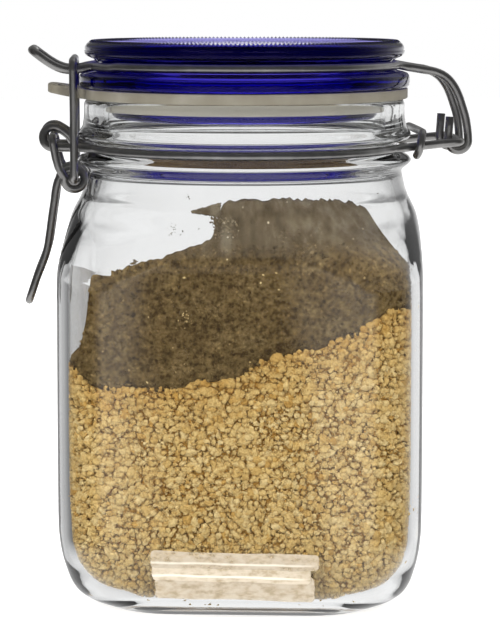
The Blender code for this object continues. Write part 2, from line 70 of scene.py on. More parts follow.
# The neck's beads and grooves, and the rim, as (radius, height)
NECK = [
    (0.0478, 0.1284), (0.0486, 0.1296), (0.0499, 0.1306), (0.05055, 0.1314), (0.05055, 0.1321),
    (0.0496, 0.1331), (0.0478, 0.1339), (0.0465, 0.1347), (0.0462, 0.1358), (0.0465, 0.1370),
    (0.0478, 0.1376), (0.0496, 0.1382), (0.0504, 0.1389), (0.0505, 0.1396), (0.0500, 0.1406),
    (0.0492, 0.1418), (0.0489, 0.1432), (0.0486, 0.1455), (0.0486, 0.1480), (0.0484, 0.1492),
    (0.0478, 0.1500), (0.0468, RIM_Z), (0.0446, RIM_Z), (0.0434, 0.1500)]
# How far the plan has turned from a rounded square into a circle, by height
ROUNDNESS = [
    (0.0980, 0.0), (0.1020, 0.08), (0.1050, 0.26), (0.1080, 0.49), (0.1105, 0.68), (0.1130, 0.82),
    (0.1150, 0.90), (0.1170, 0.95), (0.1190, 0.98), (0.1210, 1.0)]


def flowing(stops, value):
    """Read a (position, size) table by a smooth curve through its stops."""
    if value <= stops[0][0]:
        return stops[0][1]
    if value >= stops[-1][0]:
        return stops[-1][1]
    k = next(i for i in range(1, len(stops)) if value <= stops[i][0])
    (x0, y0), (x1, y1) = stops[k - 1], stops[k]
    slope = (y1 - y0) / (x1 - x0)
    start = slope if k == 1 else ((y1 - stops[k - 2][1]) / (x1 - stops[k - 2][0]))
    end = slope if k == len(stops) - 1 else ((stops[k + 1][1] - y0) / (stops[k + 1][0] - x0))
    # A smooth curve must not swing past its stops
    if slope == 0:
        start = end = 0
    else:
        start = slope * max(0, min(start / slope, 3))
        end = slope * max(0, min(end / slope, 3))
    t, span = (value - x0) / (x1 - x0), x1 - x0
    return ((2 * t ** 3 - 3 * t * t + 1) * y0 + (t ** 3 - 2 * t * t + t) * span * start
            + (3 * t * t - 2 * t ** 3) * y1 + (t ** 3 - t * t) * span * end)


def jar_plan(z, sides, corner):
    """Half the width and the corner radius of the jar's plan at one height."""
    half = flowing(sides, z)
    rise = min(1.0, max(0.0, z / HEEL_TOP))
    corner += HEEL_CORNER_EXTRA * (1 - rise * rise * (3 - 2 * rise))
    return half, min(half, corner + (half - corner) * flowing(ROUNDNESS, z))


def jar_reach(angle, half, corner):
    """How far the rounded square reaches from its middle in one direction."""
    a, b = abs(math.cos(angle)), abs(math.sin(angle))
    flat = half - corner
    if half * b <= flat * a:
        return half / a
    if half * a <= flat * b:
        return half / b
    lean = flat * (a + b)
    return lean + math.sqrt(max(0.0, lean * lean - 2 * flat * flat + corner * corner))


def edit(piece):
    """Open one piece in edit mode, alone."""
    bpy.ops.object.select_all(action="DESELECT")
    bpy.context.view_layer.objects.active = piece
    piece.select_set(True)
    bpy.ops.object.mode_set(mode="EDIT")
    return bmesh.from_edit_mesh(piece.data)


def close_edit(piece):
    """Point the faces outwards, shade the piece smooth and put its place into its mesh."""
    bpy.ops.mesh.select_all(action="SELECT")
    bpy.ops.mesh.normals_make_consistent(inside=False)
    bpy.ops.object.mode_set(mode="OBJECT")
    bpy.ops.object.transform_apply(location=True, rotation=True, scale=True)
    bpy.ops.object.shade_smooth()
    bpy.ops.object.select_all(action="DESELECT")
    return piece


def start_from_circle(name, count, radius, z=0, fill="NGON"):
    """Start a piece from a flat circle; returns the piece and its mesh, open in edit mode."""
    bpy.ops.mesh.primitive_circle_add(vertices=count, radius=radius, fill_type=fill, location=(0, 0, z))
    piece = bpy.context.object
    piece.name = name
    return piece, edit(piece)


def draw_up(mesh, place, *ring):
    """Extrude the face or edges in hand, and put each new point where its direction has it in the ring."""
    bpy.ops.mesh.extrude_region_move(TRANSFORM_OT_translate={"value": (0, 0, 0)})
    for vertex in mesh.verts:
        if vertex.select:
            vertex.co = place(math.atan2(vertex.co.y, vertex.co.x), *ring)


def jar_point(angle, z, half, corner):
    """A point on a rounded square that is turned as the jar's body is."""
    reach = jar_reach(angle - BODY_TURN, half, corner)
    return reach * math.cos(angle), reach * math.sin(angle), z


def even_steps(stops, longest):
    """Heights between a table's first and last stop, each stop kept and no step longer than asked."""
    heights = []
    for (low, a), (high, b) in zip(stops, stops[1:]):
        count = max(1, math.ceil(math.hypot(high - low, b - a) / longest))
        heights += [low + (high - low) * i / count for i in range(count)]
    return heights + [stops[-1][0]]


# Directions round the jar, in degrees from each corner: points lie closer together at the corners
CORNER_SPREAD, POINTS_PER_RUN = 26, 22
round_jar = []
for quarter in range(4):
    start = quarter * math.pi / 2 - math.pi / 4
    for first, run in ((-CORNER_SPREAD / 2, CORNER_SPREAD), (CORNER_SPREAD / 2, 90 - CORNER_SPREAD)):
        round_jar += [start + math.radians(first + run * i / POINTS_PER_RUN) for i in range(POINTS_PER_RUN)]

# The rings, each a height, half a width and a corner radius: the hollow underside and the inner floor
# are flat, and the walls' rings are 1.1 mm apart at most, except where a wall is straight
HOLLOW_Z, HOLLOW_HALF = 0.0006, 0.0060
UNDERSIDE = [
    (HOLLOW_Z, HOLLOW_HALF, HOLLOW_HALF), (HOLLOW_Z, 0.0200, 0.0140), (0.0005, 0.0320, 0.0200),
    (0.0003, 0.0375, 0.0212), (0.0001, 0.0400, 0.0216)]
INNER_FLOOR = [
    (FLOOR_Z - 0.0001, 0.0350, 0.0190), (FLOOR_Z - 0.0002, 0.0200, 0.0140),
    (FLOOR_Z - 0.0002, HOLLOW_HALF, HOLLOW_HALF)]
RING_STEP, STRAIGHT_LOW, STRAIGHT_HIGH = 0.0011, 0.0265, 0.0885
STRAIGHT_RINGS = [0.030, 0.038, 0.046, 0.054, 0.062, 0.070, 0.078, 0.084]


def wall_rings(sides, corner):
    """One side of the wall as rings."""
    heights = [z for z in even_steps(sides, RING_STEP) if z < STRAIGHT_LOW or z > STRAIGHT_HIGH]
    return [(z, *jar_plan(z, sides, corner)) for z in heights + STRAIGHT_RINGS]


def outward_then_up(ring):
    """Sort the underside's rings by their width and the wall's by their height."""
    return ring[0] if ring[0] > HOLLOW_Z else ring[1] - 1


jar_rings = sorted(UNDERSIDE + wall_rings(OUTER_SIDE, BODY_CORNER), key=outward_then_up)
neck_path = []
for (r0, z0), (r1, z1), (r2, z2), (r3, z3) in zip(
        [(WAIST_RADIUS, WAIST_Z)] + NECK, NECK, NECK[1:] + NECK[-1:], NECK[2:] + NECK[-1:] * 2):
    neck_path.append((r1, z1))
    if (r1, z1) != (r2, z2):
        # Half way between two stops, on the curve through four of them
        neck_path.append(((9 * (r1 + r2) - r0 - r3) / 16, (9 * (z1 + z2) - z0 - z3) / 16))
jar_rings += [(z, r, r) for r, z in neck_path]
jar_rings += sorted(wall_rings(INNER_SIDE, BODY_CORNER - WALL), key=lambda ring: -ring[0]) + INNER_FLOOR

jar, mesh = start_from_circle("jar_body", len(round_jar), HOLLOW_HALF)
round_circle = sorted(mesh.verts, key=lambda v: math.atan2(v.co.y, v.co.x))
for vertex, angle in zip(round_circle, sorted(math.remainder(a + BODY_TURN, math.tau) for a in round_jar)):
    vertex.co = (HOLLOW_HALF * math.cos(angle), HOLLOW_HALF * math.sin(angle), HOLLOW_Z)
for ring in jar_rings[1:]:
    draw_up(mesh, jar_point, *ring)
close_edit(jar)


def new_material(name):
    """A new material, its nodes, its links and its shader. The functions below work on the one in hand."""
    made = bpy.data.materials.new(name)
    made.use_nodes = True
    return made, made.node_tree.nodes, made.node_tree.links, made.node_tree.nodes["Principled BSDF"]


def cloudy(scale, detail=2.0, stretch=None, roughness=0.5):
    """Soft noise on the piece's own coordinates, in metres, by its scale."""
    place = nodes.new("ShaderNodeTexCoord").outputs["Object"]
    texture = nodes.new("ShaderNodeTexNoise")
    for name, value in (("Scale", scale), ("Detail", detail), ("Roughness", roughness)):
        texture.inputs[name].default_value = value
    if stretch:
        mapping = nodes.new("ShaderNodeMapping")
        mapping.inputs["Scale"].default_value = stretch
        links.new(place, mapping.inputs["Vector"])
        place = mapping.outputs["Vector"]
    links.new(place, texture.inputs["Vector"])
    return texture.outputs["Fac"]


def ramp(source, stops):
    """A colour ramp over a value, as (place, colour) stops."""
    made = nodes.new("ShaderNodeValToRGB")
    band = made.color_ramp
    while len(band.elements) > 1:
        band.elements.remove(band.elements[-1])
    band.elements[0].position = stops[0][0]
    band.elements[0].color = (*stops[0][1], 1)
    for place, colour in stops[1:]:
        band.elements.new(place).color = (*colour, 1)
    links.new(source, made.inputs["Fac"])
    return made.outputs["Color"]


def raised_by(texture, strength, distance):
    """Raise and sink the surface by a texture."""
    made = nodes.new("ShaderNodeBump")
    made.inputs["Strength"].default_value = strength
    made.inputs["Distance"].default_value = distance
    links.new(texture, made.inputs["Height"])
    links.new(made.outputs["Normal"], shader.inputs["Normal"])


def blended(start, end, amount=None):
    """Two colours multiplied, or the first one turning into the second by an amount."""
    made = nodes.new("ShaderNodeMix")
    made.data_type = "RGBA"
    if amount is None:
        made.blend_type = "MULTIPLY"
        made.inputs["Factor"].default_value = 1.0
    else:
        links.new(amount, made.inputs["Factor"])
    for name, colour in (("A", start), ("B", end)):
        if isinstance(colour, tuple):
            made.inputs[name].default_value = (*colour, 1)
        else:
            links.new(colour, made.inputs[name])
    return made.outputs["Result"]


def own_height():
    """The height in the piece's own coordinates, in metres."""
    place = nodes.new("ShaderNodeTexCoord")
    split = nodes.new("ShaderNodeSeparateXYZ")
    links.new(place.outputs["Object"], split.inputs["Vector"])
    return split.outputs["Z"]


def attribute(name):
    """A number that is kept for each point of the mesh."""
    made = nodes.new("ShaderNodeAttribute")
    made.attribute_name = name
    return made.outputs["Fac"]


def finish_glass(index, lamp_tint, depth_colour, density):
    """Clear the material to glass, tinted by its depth. It throws no black shadow on what is in it: lamps
    see a tinted clear sheet instead."""
    shader.inputs["Transmission Weight"].default_value = 1.0
    shader.inputs["IOR"].default_value = index
    clear = nodes.new("ShaderNodeBsdfTransparent")
    clear.inputs["Color"].default_value = (*lamp_tint, 1)
    path = nodes.new("ShaderNodeLightPath")
    mix = nodes.new("ShaderNodeMixShader")
    links.new(path.outputs["Is Shadow Ray"], mix.inputs["Fac"])
    links.new(shader.outputs["BSDF"], mix.inputs[1])
    links.new(clear.outputs["BSDF"], mix.inputs[2])
    links.new(mix.outputs["Shader"], nodes["Material Output"].inputs["Surface"])
    depth_tint = nodes.new("ShaderNodeVolumeAbsorption")
    depth_tint.inputs["Color"].default_value = (*depth_colour, 1)
    depth_tint.inputs["Density"].default_value = density
    links.new(depth_tint.outputs["Volume"], nodes["Material Output"].inputs["Volume"])


clear_glass, nodes, links, shader = new_material("clear_glass")
shader.inputs["Base Color"].default_value = (0.996, 0.999, 1.0, 1)
finish_glass(1.5, (0.97, 0.98, 0.98), (0.42, 0.46, 0.45), 13)
smears = cloudy(60, 4, (1, 1, 0.5))
smear_ramp = ramp(smears, [(0.45, (0.0, 0.0, 0.0)), (0.75, (0.07, 0.07, 0.07))])
links.new(smear_ramp, shader.inputs["Roughness"])
waves = cloudy(45, 1, (1, 1, 0.35))
raised_by(waves, 0.05, 0.002)
jar.data.materials.append(clear_glass)
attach(jar, "jar")
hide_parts("jar_glass")


# ---------------------------------------------------------------- Granules
# Coarse dry tan granules, 2 to 3 mm across and lumpy, poured in first and pressed against the glass.
# Loose grains lie two deep along the wall and round the heel, over a core painted darker as shade in the
# gaps.

GRAIN = 0.0022
CORE_DEPTH, CORE_BELOW_TOP = 0.0014, 0.0012
LOWEST_GRAIN = FLOOR_Z + 0.0007
FILL_HEIGHT = 0.100
# Rows lie closer than the grains in them, as each row sits in the gaps of the one below
ROW_PITCH, ROW_JITTER = 0.87, 0.36
# How far down and how strongly the grains under the powder are painted darker, as painted shade
SHADED_DOWN_TO, POWDER_SHADE = 0.016, 0.75
# The layer's top along the front wall, as (place from left to right, height), and its fall to the back
LAYER_TOP = [
    (-0.0475, 0.0756), (-0.0430, 0.0716), (-0.0355, 0.0698), (-0.0310, 0.0712), (-0.0270, 0.0699),
    (-0.0190, 0.0701), (-0.0160, 0.0708), (-0.0120, 0.0721), (0.0000, 0.0736), (0.0030, 0.0757),
    (0.0100, 0.0792), (0.0160, 0.0804), (0.0250, 0.0828), (0.0290, 0.0850), (0.0330, 0.0858),
    (0.0380, 0.0890), (0.0420, 0.0919), (0.0460, 0.0927), (0.0500, 0.0925)]
LAYER_FRONT_Y, LAYER_FALL = -0.05, 0.02


def layer_top(x, y):
    """The top of the granules: a dip at the left of the front wall and a rise to the right."""
    across = x * math.cos(BODY_TURN) + y * math.sin(BODY_TURN)
    return flowing(LAYER_TOP, across) - LAYER_FALL * (y - LAYER_FRONT_Y)


def in_jar(angle, z, inset):
    """A point inside the jar, in from the inner wall, at one direction from the middle and one height."""
    half, corner = jar_plan(z, INNER_SIDE, BODY_CORNER - WALL)
    return Vector(jar_point(angle, z, half - inset, max(0.004, corner - inset)))


def wall_facing(angle, z):
    """The outward normal of the inner wall."""
    along = in_jar(angle + 0.01, z, 0) - in_jar(angle - 0.01, z, 0)
    up = in_jar(angle, z + 0.0006, 0) - in_jar(angle, z - 0.0006, 0)
    return along.cross(up).normalized()


# Directions spaced evenly along the wall rather than by angle
FINE_STEPS = 2880
fine = [math.tau * i / FINE_STEPS for i in range(FINE_STEPS + 1)]
walked = [0.0]
for a, b in zip(fine, fine[1:]):
    walked.append(walked[-1] + (in_jar(b, 0.05, 0) - in_jar(a, 0.05, 0)).length)
round_wall = walked[-1]


def direction(along):
    """The direction from the jar's middle of a place so far along the wall."""
    return float(np.interp(along % round_wall, walked, fine))


def grain_shapes(count, segments, rings, lump, seed):
    """Model a few irregular grains of size 1, and keep each one's points and faces."""
    shapes = []
    for k in range(count):
        bpy.ops.mesh.primitive_uv_sphere_add(segments=segments, ring_count=rings, radius=0.5,
                                             location=(0, 0, 0))
        grain = bpy.context.object
        edit(grain)
        bpy.ops.mesh.select_all(action="SELECT")
        bpy.ops.transform.vertex_random(offset=lump, uniform=0.2, normal=0.5, seed=seed + k)
        bpy.ops.mesh.normals_make_consistent(inside=False)
        bpy.ops.object.mode_set(mode="OBJECT")
        points = np.array([v.co for v in grain.data.vertices])
        faces = [tuple(p.vertices) for p in grain.data.polygons]
        shapes.append((points, faces))
        bpy.data.objects.remove(grain, do_unlink=True)
    return shapes


def turned(dice):
    """A random rotation, as a 3 by 3 array."""
    a, b, c = (dice.uniform(0, 2 * math.pi) for _ in range(3))
    spin_z = np.array([[math.cos(a), -math.sin(a), 0], [math.sin(a), math.cos(a), 0], [0, 0, 1]])
    tip = np.array([[1, 0, 0], [0, math.cos(b), -math.sin(b)], [0, math.sin(b), math.cos(b)]])
    last = np.array([[math.cos(c), 0, math.sin(c)], [0, 1, 0], [-math.sin(c), 0, math.cos(c)]])
    return spin_z @ tip @ last


def from_points(name, points, faces, finish):
    """A piece made from points and faces."""
    mesh = bpy.data.meshes.new(name)
    mesh.from_pydata(points, [], faces)
    mesh.materials.append(finish)
    made = bpy.data.objects.new(name, mesh)
    bpy.context.collection.objects.link(made)
    return made


def set_tones(piece, tones):
    """Give each point of a piece its shade, from 0 to 1."""
    piece.data.attributes.new("tone", "FLOAT", "POINT").data.foreach_set("value", tones)


def scatter(name, placed, finish):
    """Join placed grains into one piece: each is its points, its faces and its shade from 0 to 1."""
    points, faces, shades, start = [], [], [], 0
    for grain, corners, shade in placed:
        points.append(grain)
        faces += [tuple(c + start for c in corner) for corner in corners]
        shades += [shade] * len(grain)
        start += len(grain)
    made = from_points(name, np.concatenate(points).tolist(), faces, finish)
    set_tones(made, shades)
    made.data.shade_smooth()
    return made


def against_wall(shape, size, stretch, along, z, depth, dice):
    """Turn a grain at random and set its outermost point that deep inside the inner wall."""
    points, faces = shape
    points = (points * np.array(stretch) * size) @ turned(dice).T
    angle = direction(along)
    facing = np.array(wall_facing(angle, z))
    spot = np.array(in_jar(angle, z, 0))
    points = points - facing * (points @ facing).max() - facing * depth
    return points + spot, faces


def skin(name, rings, finish):
    """Skin a closed body through rings of points, drawn up ring by ring from the first one's face."""
    count = len(rings[0])
    points = [tuple(p) for ring in rings for p in ring]
    faces = [tuple(range(count))[::-1]]
    for k in range(len(rings) - 1):
        low, high = k * count, (k + 1) * count
        faces += [(low + i, low + (i + 1) % count, high + (i + 1) % count, high + i) for i in range(count)]
    faces.append(tuple(range((len(rings) - 1) * count, len(rings) * count)))
    made = from_points(name, points, faces, finish)
    edit(made)
    return close_edit(made)


tan_grain, nodes, links, shader = new_material("tan_granules")
# The lowest tone is the darkest: painted shade, for the core and for the upper grains under the powder
shade = ramp(attribute("tone"), [
    (0.0, (0.42, 0.235, 0.050)), (0.3, (0.515, 0.348, 0.124)), (0.65, (0.565, 0.405, 0.168)),
    (1.0, (0.615, 0.470, 0.232))])
specks = cloudy(1100, 4, None, 0.65)
fleck = ramp(specks, [(0.32, (0.66, 0.58, 0.44)), (0.5, (0.98, 0.97, 0.94)), (0.68, (1.12, 1.14, 1.20))])
flecked = blended(shade, fleck)
links.new(flecked, shader.inputs["Base Color"])
shader.inputs["Roughness"].default_value = 0.85
shader.inputs["Specular IOR Level"].default_value = 0.2
pits = cloudy(1500, 3)
raised_by(pits, 0.8, 0.0005)

dice = random.Random(11)
grains = grain_shapes(12, 8, 6, 0.14, 3)
plain_grains = grain_shapes(8, 5, 4, 0.15, 61)
near_side, far_side, behind = [], [], []


def lay_grains(spacing, sizes, stretches, depths, top_gap, tones, keep):
    """Rows of grains round the whole wall, each set by dice; returns those kept, and if each is near."""
    laid = []
    # Seen only from afar or behind others, a grain is plainer
    outermost = top_gap < 0.0010
    for row in range(int(FILL_HEIGHT / (spacing * ROW_PITCH))):
        for k in range(int(round_wall / spacing)):
            along = (k + 0.5 * (row % 2) + dice.uniform(-ROW_JITTER, ROW_JITTER)) * spacing
            z = LOWEST_GRAIN + (row + dice.uniform(-ROW_JITTER, ROW_JITTER)) * spacing * ROW_PITCH
            size = GRAIN * (sizes[0] + (sizes[1] - sizes[0]) * dice.random() ** 1.5)
            stretch = [dice.uniform(low, high) for low, high in stretches]
            depth, shade_of = dice.uniform(*depths), dice.betavariate(*tones)
            draw, pick = dice.random(), dice.random()
            z = max(z, LOWEST_GRAIN)
            angle = direction(along)
            spot = in_jar(angle, z, 0)
            below_top = layer_top(spot.x, spot.y) - z
            if draw > keep or below_top < top_gap + size * 0.1:
                continue
            # The upper ones are painted darker: painted shade under the powder above
            shade_of *= 1 - POWDER_SHADE * max(0.0, 1 - below_top / SHADED_DOWN_TO)
            near = spot.y - 0.2 * spot.x < 0
            shapes = grains if near and outermost else plain_grains
            shape = shapes[int(pick * len(shapes))]
            points, faces = against_wall(shape, size, stretch, along, z, depth, dice)
            # Pressed flat where it meets the wall or the floor
            facing = np.array(wall_facing(angle, z))
            over = np.maximum(0, (points - np.array(spot)) @ facing + 0.00005)
            points -= over[:, None] * facing
            points[:, 2] = np.maximum(points[:, 2], FLOOR_Z - 0.0001)
            laid.append((near, (points, faces, shade_of)))
    return laid


# The grains on the glass, the crumbs between them on the near side, and the second layer behind both
left_out = []
for of_near, of_far, layer in (
        (near_side, far_side, (0.00188, (0.62, 1.72), ((0.95, 1.35), (0.8, 1.05), (0.6, 0.85)),
                               (-0.00042, 0.00012), 0.0002, (2.4, 1.9), 1.0)),
        (near_side, left_out, (0.00115, (0.24, 0.58), ((0.9, 1.3), (0.8, 1.05), (0.7, 0.9)),
                               (0.00004, 0.00070), 0.0008, (2.2, 2.2), 0.80)),
        (behind, behind, (0.0026, (0.85, 1.45), ((0.95, 1.3), (0.8, 1.05), (0.7, 0.95)),
                          (0.0007, 0.0015), 0.0010, (2.0, 2.6), 1.0))):
    for near, grain in lay_grains(*layer):
        (of_near if near else of_far).append(grain)

CORE_POINTS, CORE_SIDE_TOP = 144, 0.056
core_rings = []
for z, inset in ((FLOOR_Z + 0.0004, 0.0040), (FLOOR_Z + 0.0012, 0.0016), (0.0085, CORE_DEPTH),
                 (0.0120, CORE_DEPTH), (0.0170, CORE_DEPTH), (0.0240, CORE_DEPTH), (0.0400, CORE_DEPTH),
                 (CORE_SIDE_TOP, CORE_DEPTH)):
    core_rings.append([in_jar(math.tau * i / CORE_POINTS, z, inset) for i in range(CORE_POINTS)])
side_top = core_rings[-1]
for rise in (0.5, 1.0):
    core_rings.append([Vector((p.x, p.y, CORE_SIDE_TOP + rise * (
        layer_top(p.x, p.y) - CORE_BELOW_TOP - CORE_SIDE_TOP))) for p in side_top])
for scale in (0.8, 0.5, 0.2):
    inward = [(p.x * scale, p.y * scale) for p in side_top]
    core_rings.append([Vector((x, y, layer_top(x, y) - CORE_BELOW_TOP)) for x, y in inward])
shaded_granule_core = skin("granules_shaded_core", core_rings, tan_grain)
# The core takes the darkest tone, as painted shade deep in the gaps between the grains
set_tones(shaded_granule_core, [0.0] * len(shaded_granule_core.data.vertices))
loose = [scatter(name, placed, tan_grain) for name, placed in (
    ("granules_near", near_side), ("granules_far", far_side), ("granules_behind", behind))]
for piece in [shaded_granule_core] + loose:
    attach(piece, "jar")
    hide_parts("granules")


# ---------------------------------------------------------------- Powder
# Fine brown powder on the granules, caked up against the front glass as far as the shoulder, where it
# hangs on as a streaked film. It is one relief skin, with crumbs, pale flecks and loose specks on it.

# The powder's top edge on the wall, by the direction in degrees from the jar's right side
POWDER_EDGE = [
    (-180.0, 0.0778), (-136.4, 0.0766), (-135.3, 0.0785), (-134.5, 0.0800), (-133.6, 0.0831),
    (-132.5, 0.0880), (-131.8, 0.0925), (-131.5, 0.0970), (-131.3, 0.1008), (-130.6, 0.1012),
    (-128.4, 0.1012), (-126.0, 0.1024), (-122.3, 0.1040), (-118.8, 0.1053), (-113.6, 0.1074),
    (-107.9, 0.1091), (-104.9, 0.1105), (-101.8, 0.1111), (-98.7, 0.1125), (-97.8, 0.1141),
    (-97.0, 0.1169), (-96.0, 0.1202), (-94.7, 0.1222), (-90.9, 0.1225), (-87.4, 0.1231), (-75.1, 0.1233),
    (-67.8, 0.1228), (-60.1, 0.1229), (-54.0, 0.1223), (-47.6, 0.1217), (-43.3, 0.1205), (-40.4, 0.1190),
    (-40.1, 0.1173), (-39.8, 0.1155), (-39.4, 0.1128), (-39.0, 0.1086), (-38.6, 0.1059), (-37.5, 0.1040),
    (-30.0, 0.1005), (0.0, 0.0975), (60.0, 0.0945), (110.0, 0.0905), (150.0, 0.0820), (180.0, 0.0778)]
POWDER_MIDDLE = 0.0970
POWDER_POINTS, POWDER_ROWS = 720, 64
FILM_FROM = 0.1110


def powder_edge(angle):
    """The powder's top on the wall in one direction."""
    return flowing(POWDER_EDGE, math.degrees(math.remainder(angle - BODY_TURN, math.tau)))


brown_powder, nodes, links, shader = new_material("brown_powder")
clouds = cloudy(130, 4, None, 0.6)
earth = ramp(clouds, [
    (0.35, (0.095, 0.060, 0.0205)), (0.5, (0.120, 0.078, 0.028)), (0.65, (0.146, 0.099, 0.040))])
# Lighter clumps and darker gaps between them: the powder's own mottling, with painted shade in the gaps
clumps = cloudy(620, 4, None, 0.62)
clump_and_gap_shade = ramp(clumps, [
    (0.36, (0.42, 0.375, 0.31)), (0.46, (0.82, 0.81, 0.79)), (0.54, (1.06, 1.08, 1.12)),
    (0.66, (1.50, 1.57, 1.70))])
crumb = ramp(attribute("tone"), [
    (0.0, (0.50, 0.45, 0.38)), (0.5, (1.0, 1.0, 1.0)), (0.9, (1.5, 1.5, 1.55)), (0.97, (4.6, 5.2, 6.4))])
# Above the heap the powder hangs on the glass as a thinner film, streaked downwards and greyer
hung = nodes.new("ShaderNodeMapRange")
hung.interpolation_type = "SMOOTHSTEP"
hung.inputs["From Min"].default_value = 0.1050
hung.inputs["From Max"].default_value = 0.1130
links.new(own_height(), hung.inputs["Value"])
streaks = cloudy(330, 3, (1, 1, 0.10), 0.55)
film = ramp(streaks, [(0.36, (0.68, 0.73, 0.95)), (0.50, (0.94, 1.09, 1.72)), (0.64, (1.30, 1.58, 2.65))])
thinned = blended(clump_and_gap_shade, film, hung.outputs["Result"])
earthy = blended(earth, thinned)
links.new(blended(earthy, crumb), shader.inputs["Base Color"])
shader.inputs["Roughness"].default_value = 0.95
shader.inputs["Specular IOR Level"].default_value = 0.1
grit = cloudy(1500, 4)
raised_by(grit, 0.7, 0.0006)

directions = [direction(round_wall * i / POWDER_POINTS) for i in range(POWDER_POINTS)]


def relief(point, size, seed=0.0):
    """Packed powder's relief at one place, from 0 to 1."""
    return 0.5 + 0.5 * noise.noise(Vector(point) / size + Vector((seed, seed, seed)))


# The powder starts a little below the top of the granules, and its upper edge is ragged
powder_rings = []
bottoms, tops = [], []
for i, angle in enumerate(directions):
    low = 0.08
    for _ in range(4):
        spot = in_jar(angle, low, 0.0004)
        low = layer_top(spot.x, spot.y) - 0.0016
    bottoms.append(low)
    turn = math.tau * i / POWDER_POINTS
    loop = Vector((math.cos(turn), math.sin(turn), 0)) * 0.06
    ragged = 0.0008 * noise.noise(loop / 0.0019), 0.0006 * noise.noise(loop / 0.0052)
    tops.append(powder_edge(angle) + ragged[0] + ragged[1])
# Its underside, which lies in the granules
for scale in (0.15, 0.4, 0.65, 0.85):
    ring = []
    for i, angle in enumerate(directions):
        spot = in_jar(angle, bottoms[i], 0.0022) * scale
        ring.append(Vector((spot.x, spot.y, layer_top(spot.x, spot.y) - 0.0010)))
    powder_rings.append(ring)
# Its side on the wall, rough and turned in at the bottom and the top
for row in range(POWDER_ROWS + 1):
    ring = []
    for i, angle in enumerate(directions):
        z = bottoms[i] + (tops[i] - bottoms[i]) * (row / POWDER_ROWS)
        rough_spot = in_jar(angle, z, 0)
        inset = 0.00006 + 0.00040 * relief(rough_spot, 0.0017) + 0.00030 * relief(rough_spot, 0.0008, 3.0)
        inset += 0.0014 * max(0.0, 1 - (z - bottoms[i]) / 0.0022)
        inset += 0.0006 * max(0.0, 1 - (tops[i] - z) / 0.0007)
        ring.append(in_jar(angle, z, inset))
    powder_rings.append(ring)
# Its top, which falls from the wall to the middle
rim = powder_rings[-1]
for scale in (0.992, 0.98, 0.965, 0.95, 0.93, 0.91, 0.885, 0.86, 0.83, 0.80, 0.76, 0.72, 0.67, 0.62, 0.56,
              0.50, 0.43, 0.36, 0.28, 0.20, 0.12, 0.05):
    ring = []
    for point in rim:
        x, y = point.x * scale, point.y * scale
        z = POWDER_MIDDLE + (point.z - POWDER_MIDDLE) * scale ** 2.5
        z += 0.0007 * (relief((x, y, 0), 0.0030) - 0.5) + 0.0004 * (relief((x, y, 0.2), 0.0012) - 0.5)
        ring.append(Vector((x, y, z)))
    powder_rings.append(ring)
powder = skin("powder_heap", powder_rings, brown_powder)
set_tones(powder, [0.45] * len(powder.data.vertices))

crumbs = grain_shapes(8, 5, 4, 0.16, 31)
placed = []


def stick_crumb(degrees, z, size, shade_of, depth):
    """Stick one crumb to the wall, in a direction from the jar's right side."""
    angle = math.radians(degrees) + BODY_TURN
    along = float(np.interp(angle % math.tau, fine, walked))
    stretch = (dice.uniform(0.9, 1.4), dice.uniform(0.8, 1.1), dice.uniform(0.5, 0.8))
    placed.append((*against_wall(dice.choice(crumbs), size, stretch, along, z, depth, dice), shade_of))


# Rows of crumbs on the whole wall, from the granules' lowest top up, a few of them pale
CRUMB_SPACING, CRUMB_JITTER = 0.00135, 0.4
CRUMBS_FROM, CRUMBS_HEIGHT = 0.066, 0.060
for row in range(int(CRUMBS_HEIGHT / (CRUMB_SPACING * ROW_PITCH))):
    for k in range(int(round_wall / CRUMB_SPACING)):
        along = (k + 0.5 * (row % 2) + dice.uniform(-CRUMB_JITTER, CRUMB_JITTER)) * CRUMB_SPACING
        z = CRUMBS_FROM + (row + dice.uniform(-CRUMB_JITTER, CRUMB_JITTER)) * CRUMB_SPACING * ROW_PITCH
        size, shade_of = dice.uniform(0.0007, 0.0017), dice.uniform(0.05, 0.85)
        skip, pale, depth = dice.random() < 0.35, dice.random() < 0.014, dice.uniform(-0.00003, 0.00012)
        angle = direction(along)
        spot = in_jar(angle, z, 0)
        on_film = z > FILM_FROM and not pale
        outside = z < layer_top(spot.x, spot.y) - 0.0006 or z > powder_edge(angle) - 0.0002
        if skip or on_film or outside:
            continue
        if pale:
            size, shade_of = dice.uniform(0.0004, 0.0009), dice.uniform(0.92, 1.0)
        from_right = math.degrees(math.remainder(angle - BODY_TURN, math.tau))
        stick_crumb(from_right, z, size, shade_of, depth)
# A pale smear low on the left, and two mottled patches of the film
for draw, count, degrees, heights, sizes, shades in (
        (dice.gauss, 26, (-106.3, 0.9), (0.0893, 0.0011), (0.0003, 0.0007), (0.90, 0.98)),
        (dice.uniform, 90, (-97.6, -89.5), (0.1128, 0.1185), (0.0004, 0.0010), (0.72, 0.95)),
        (dice.uniform, 60, (-78.0, -62.0), (0.1085, 0.1150), (0.0004, 0.0009), (0.70, 0.93))):
    for _ in range(count):
        stick_crumb(draw(*degrees), draw(*heights), dice.uniform(*sizes), dice.uniform(*shades), 0.00002)
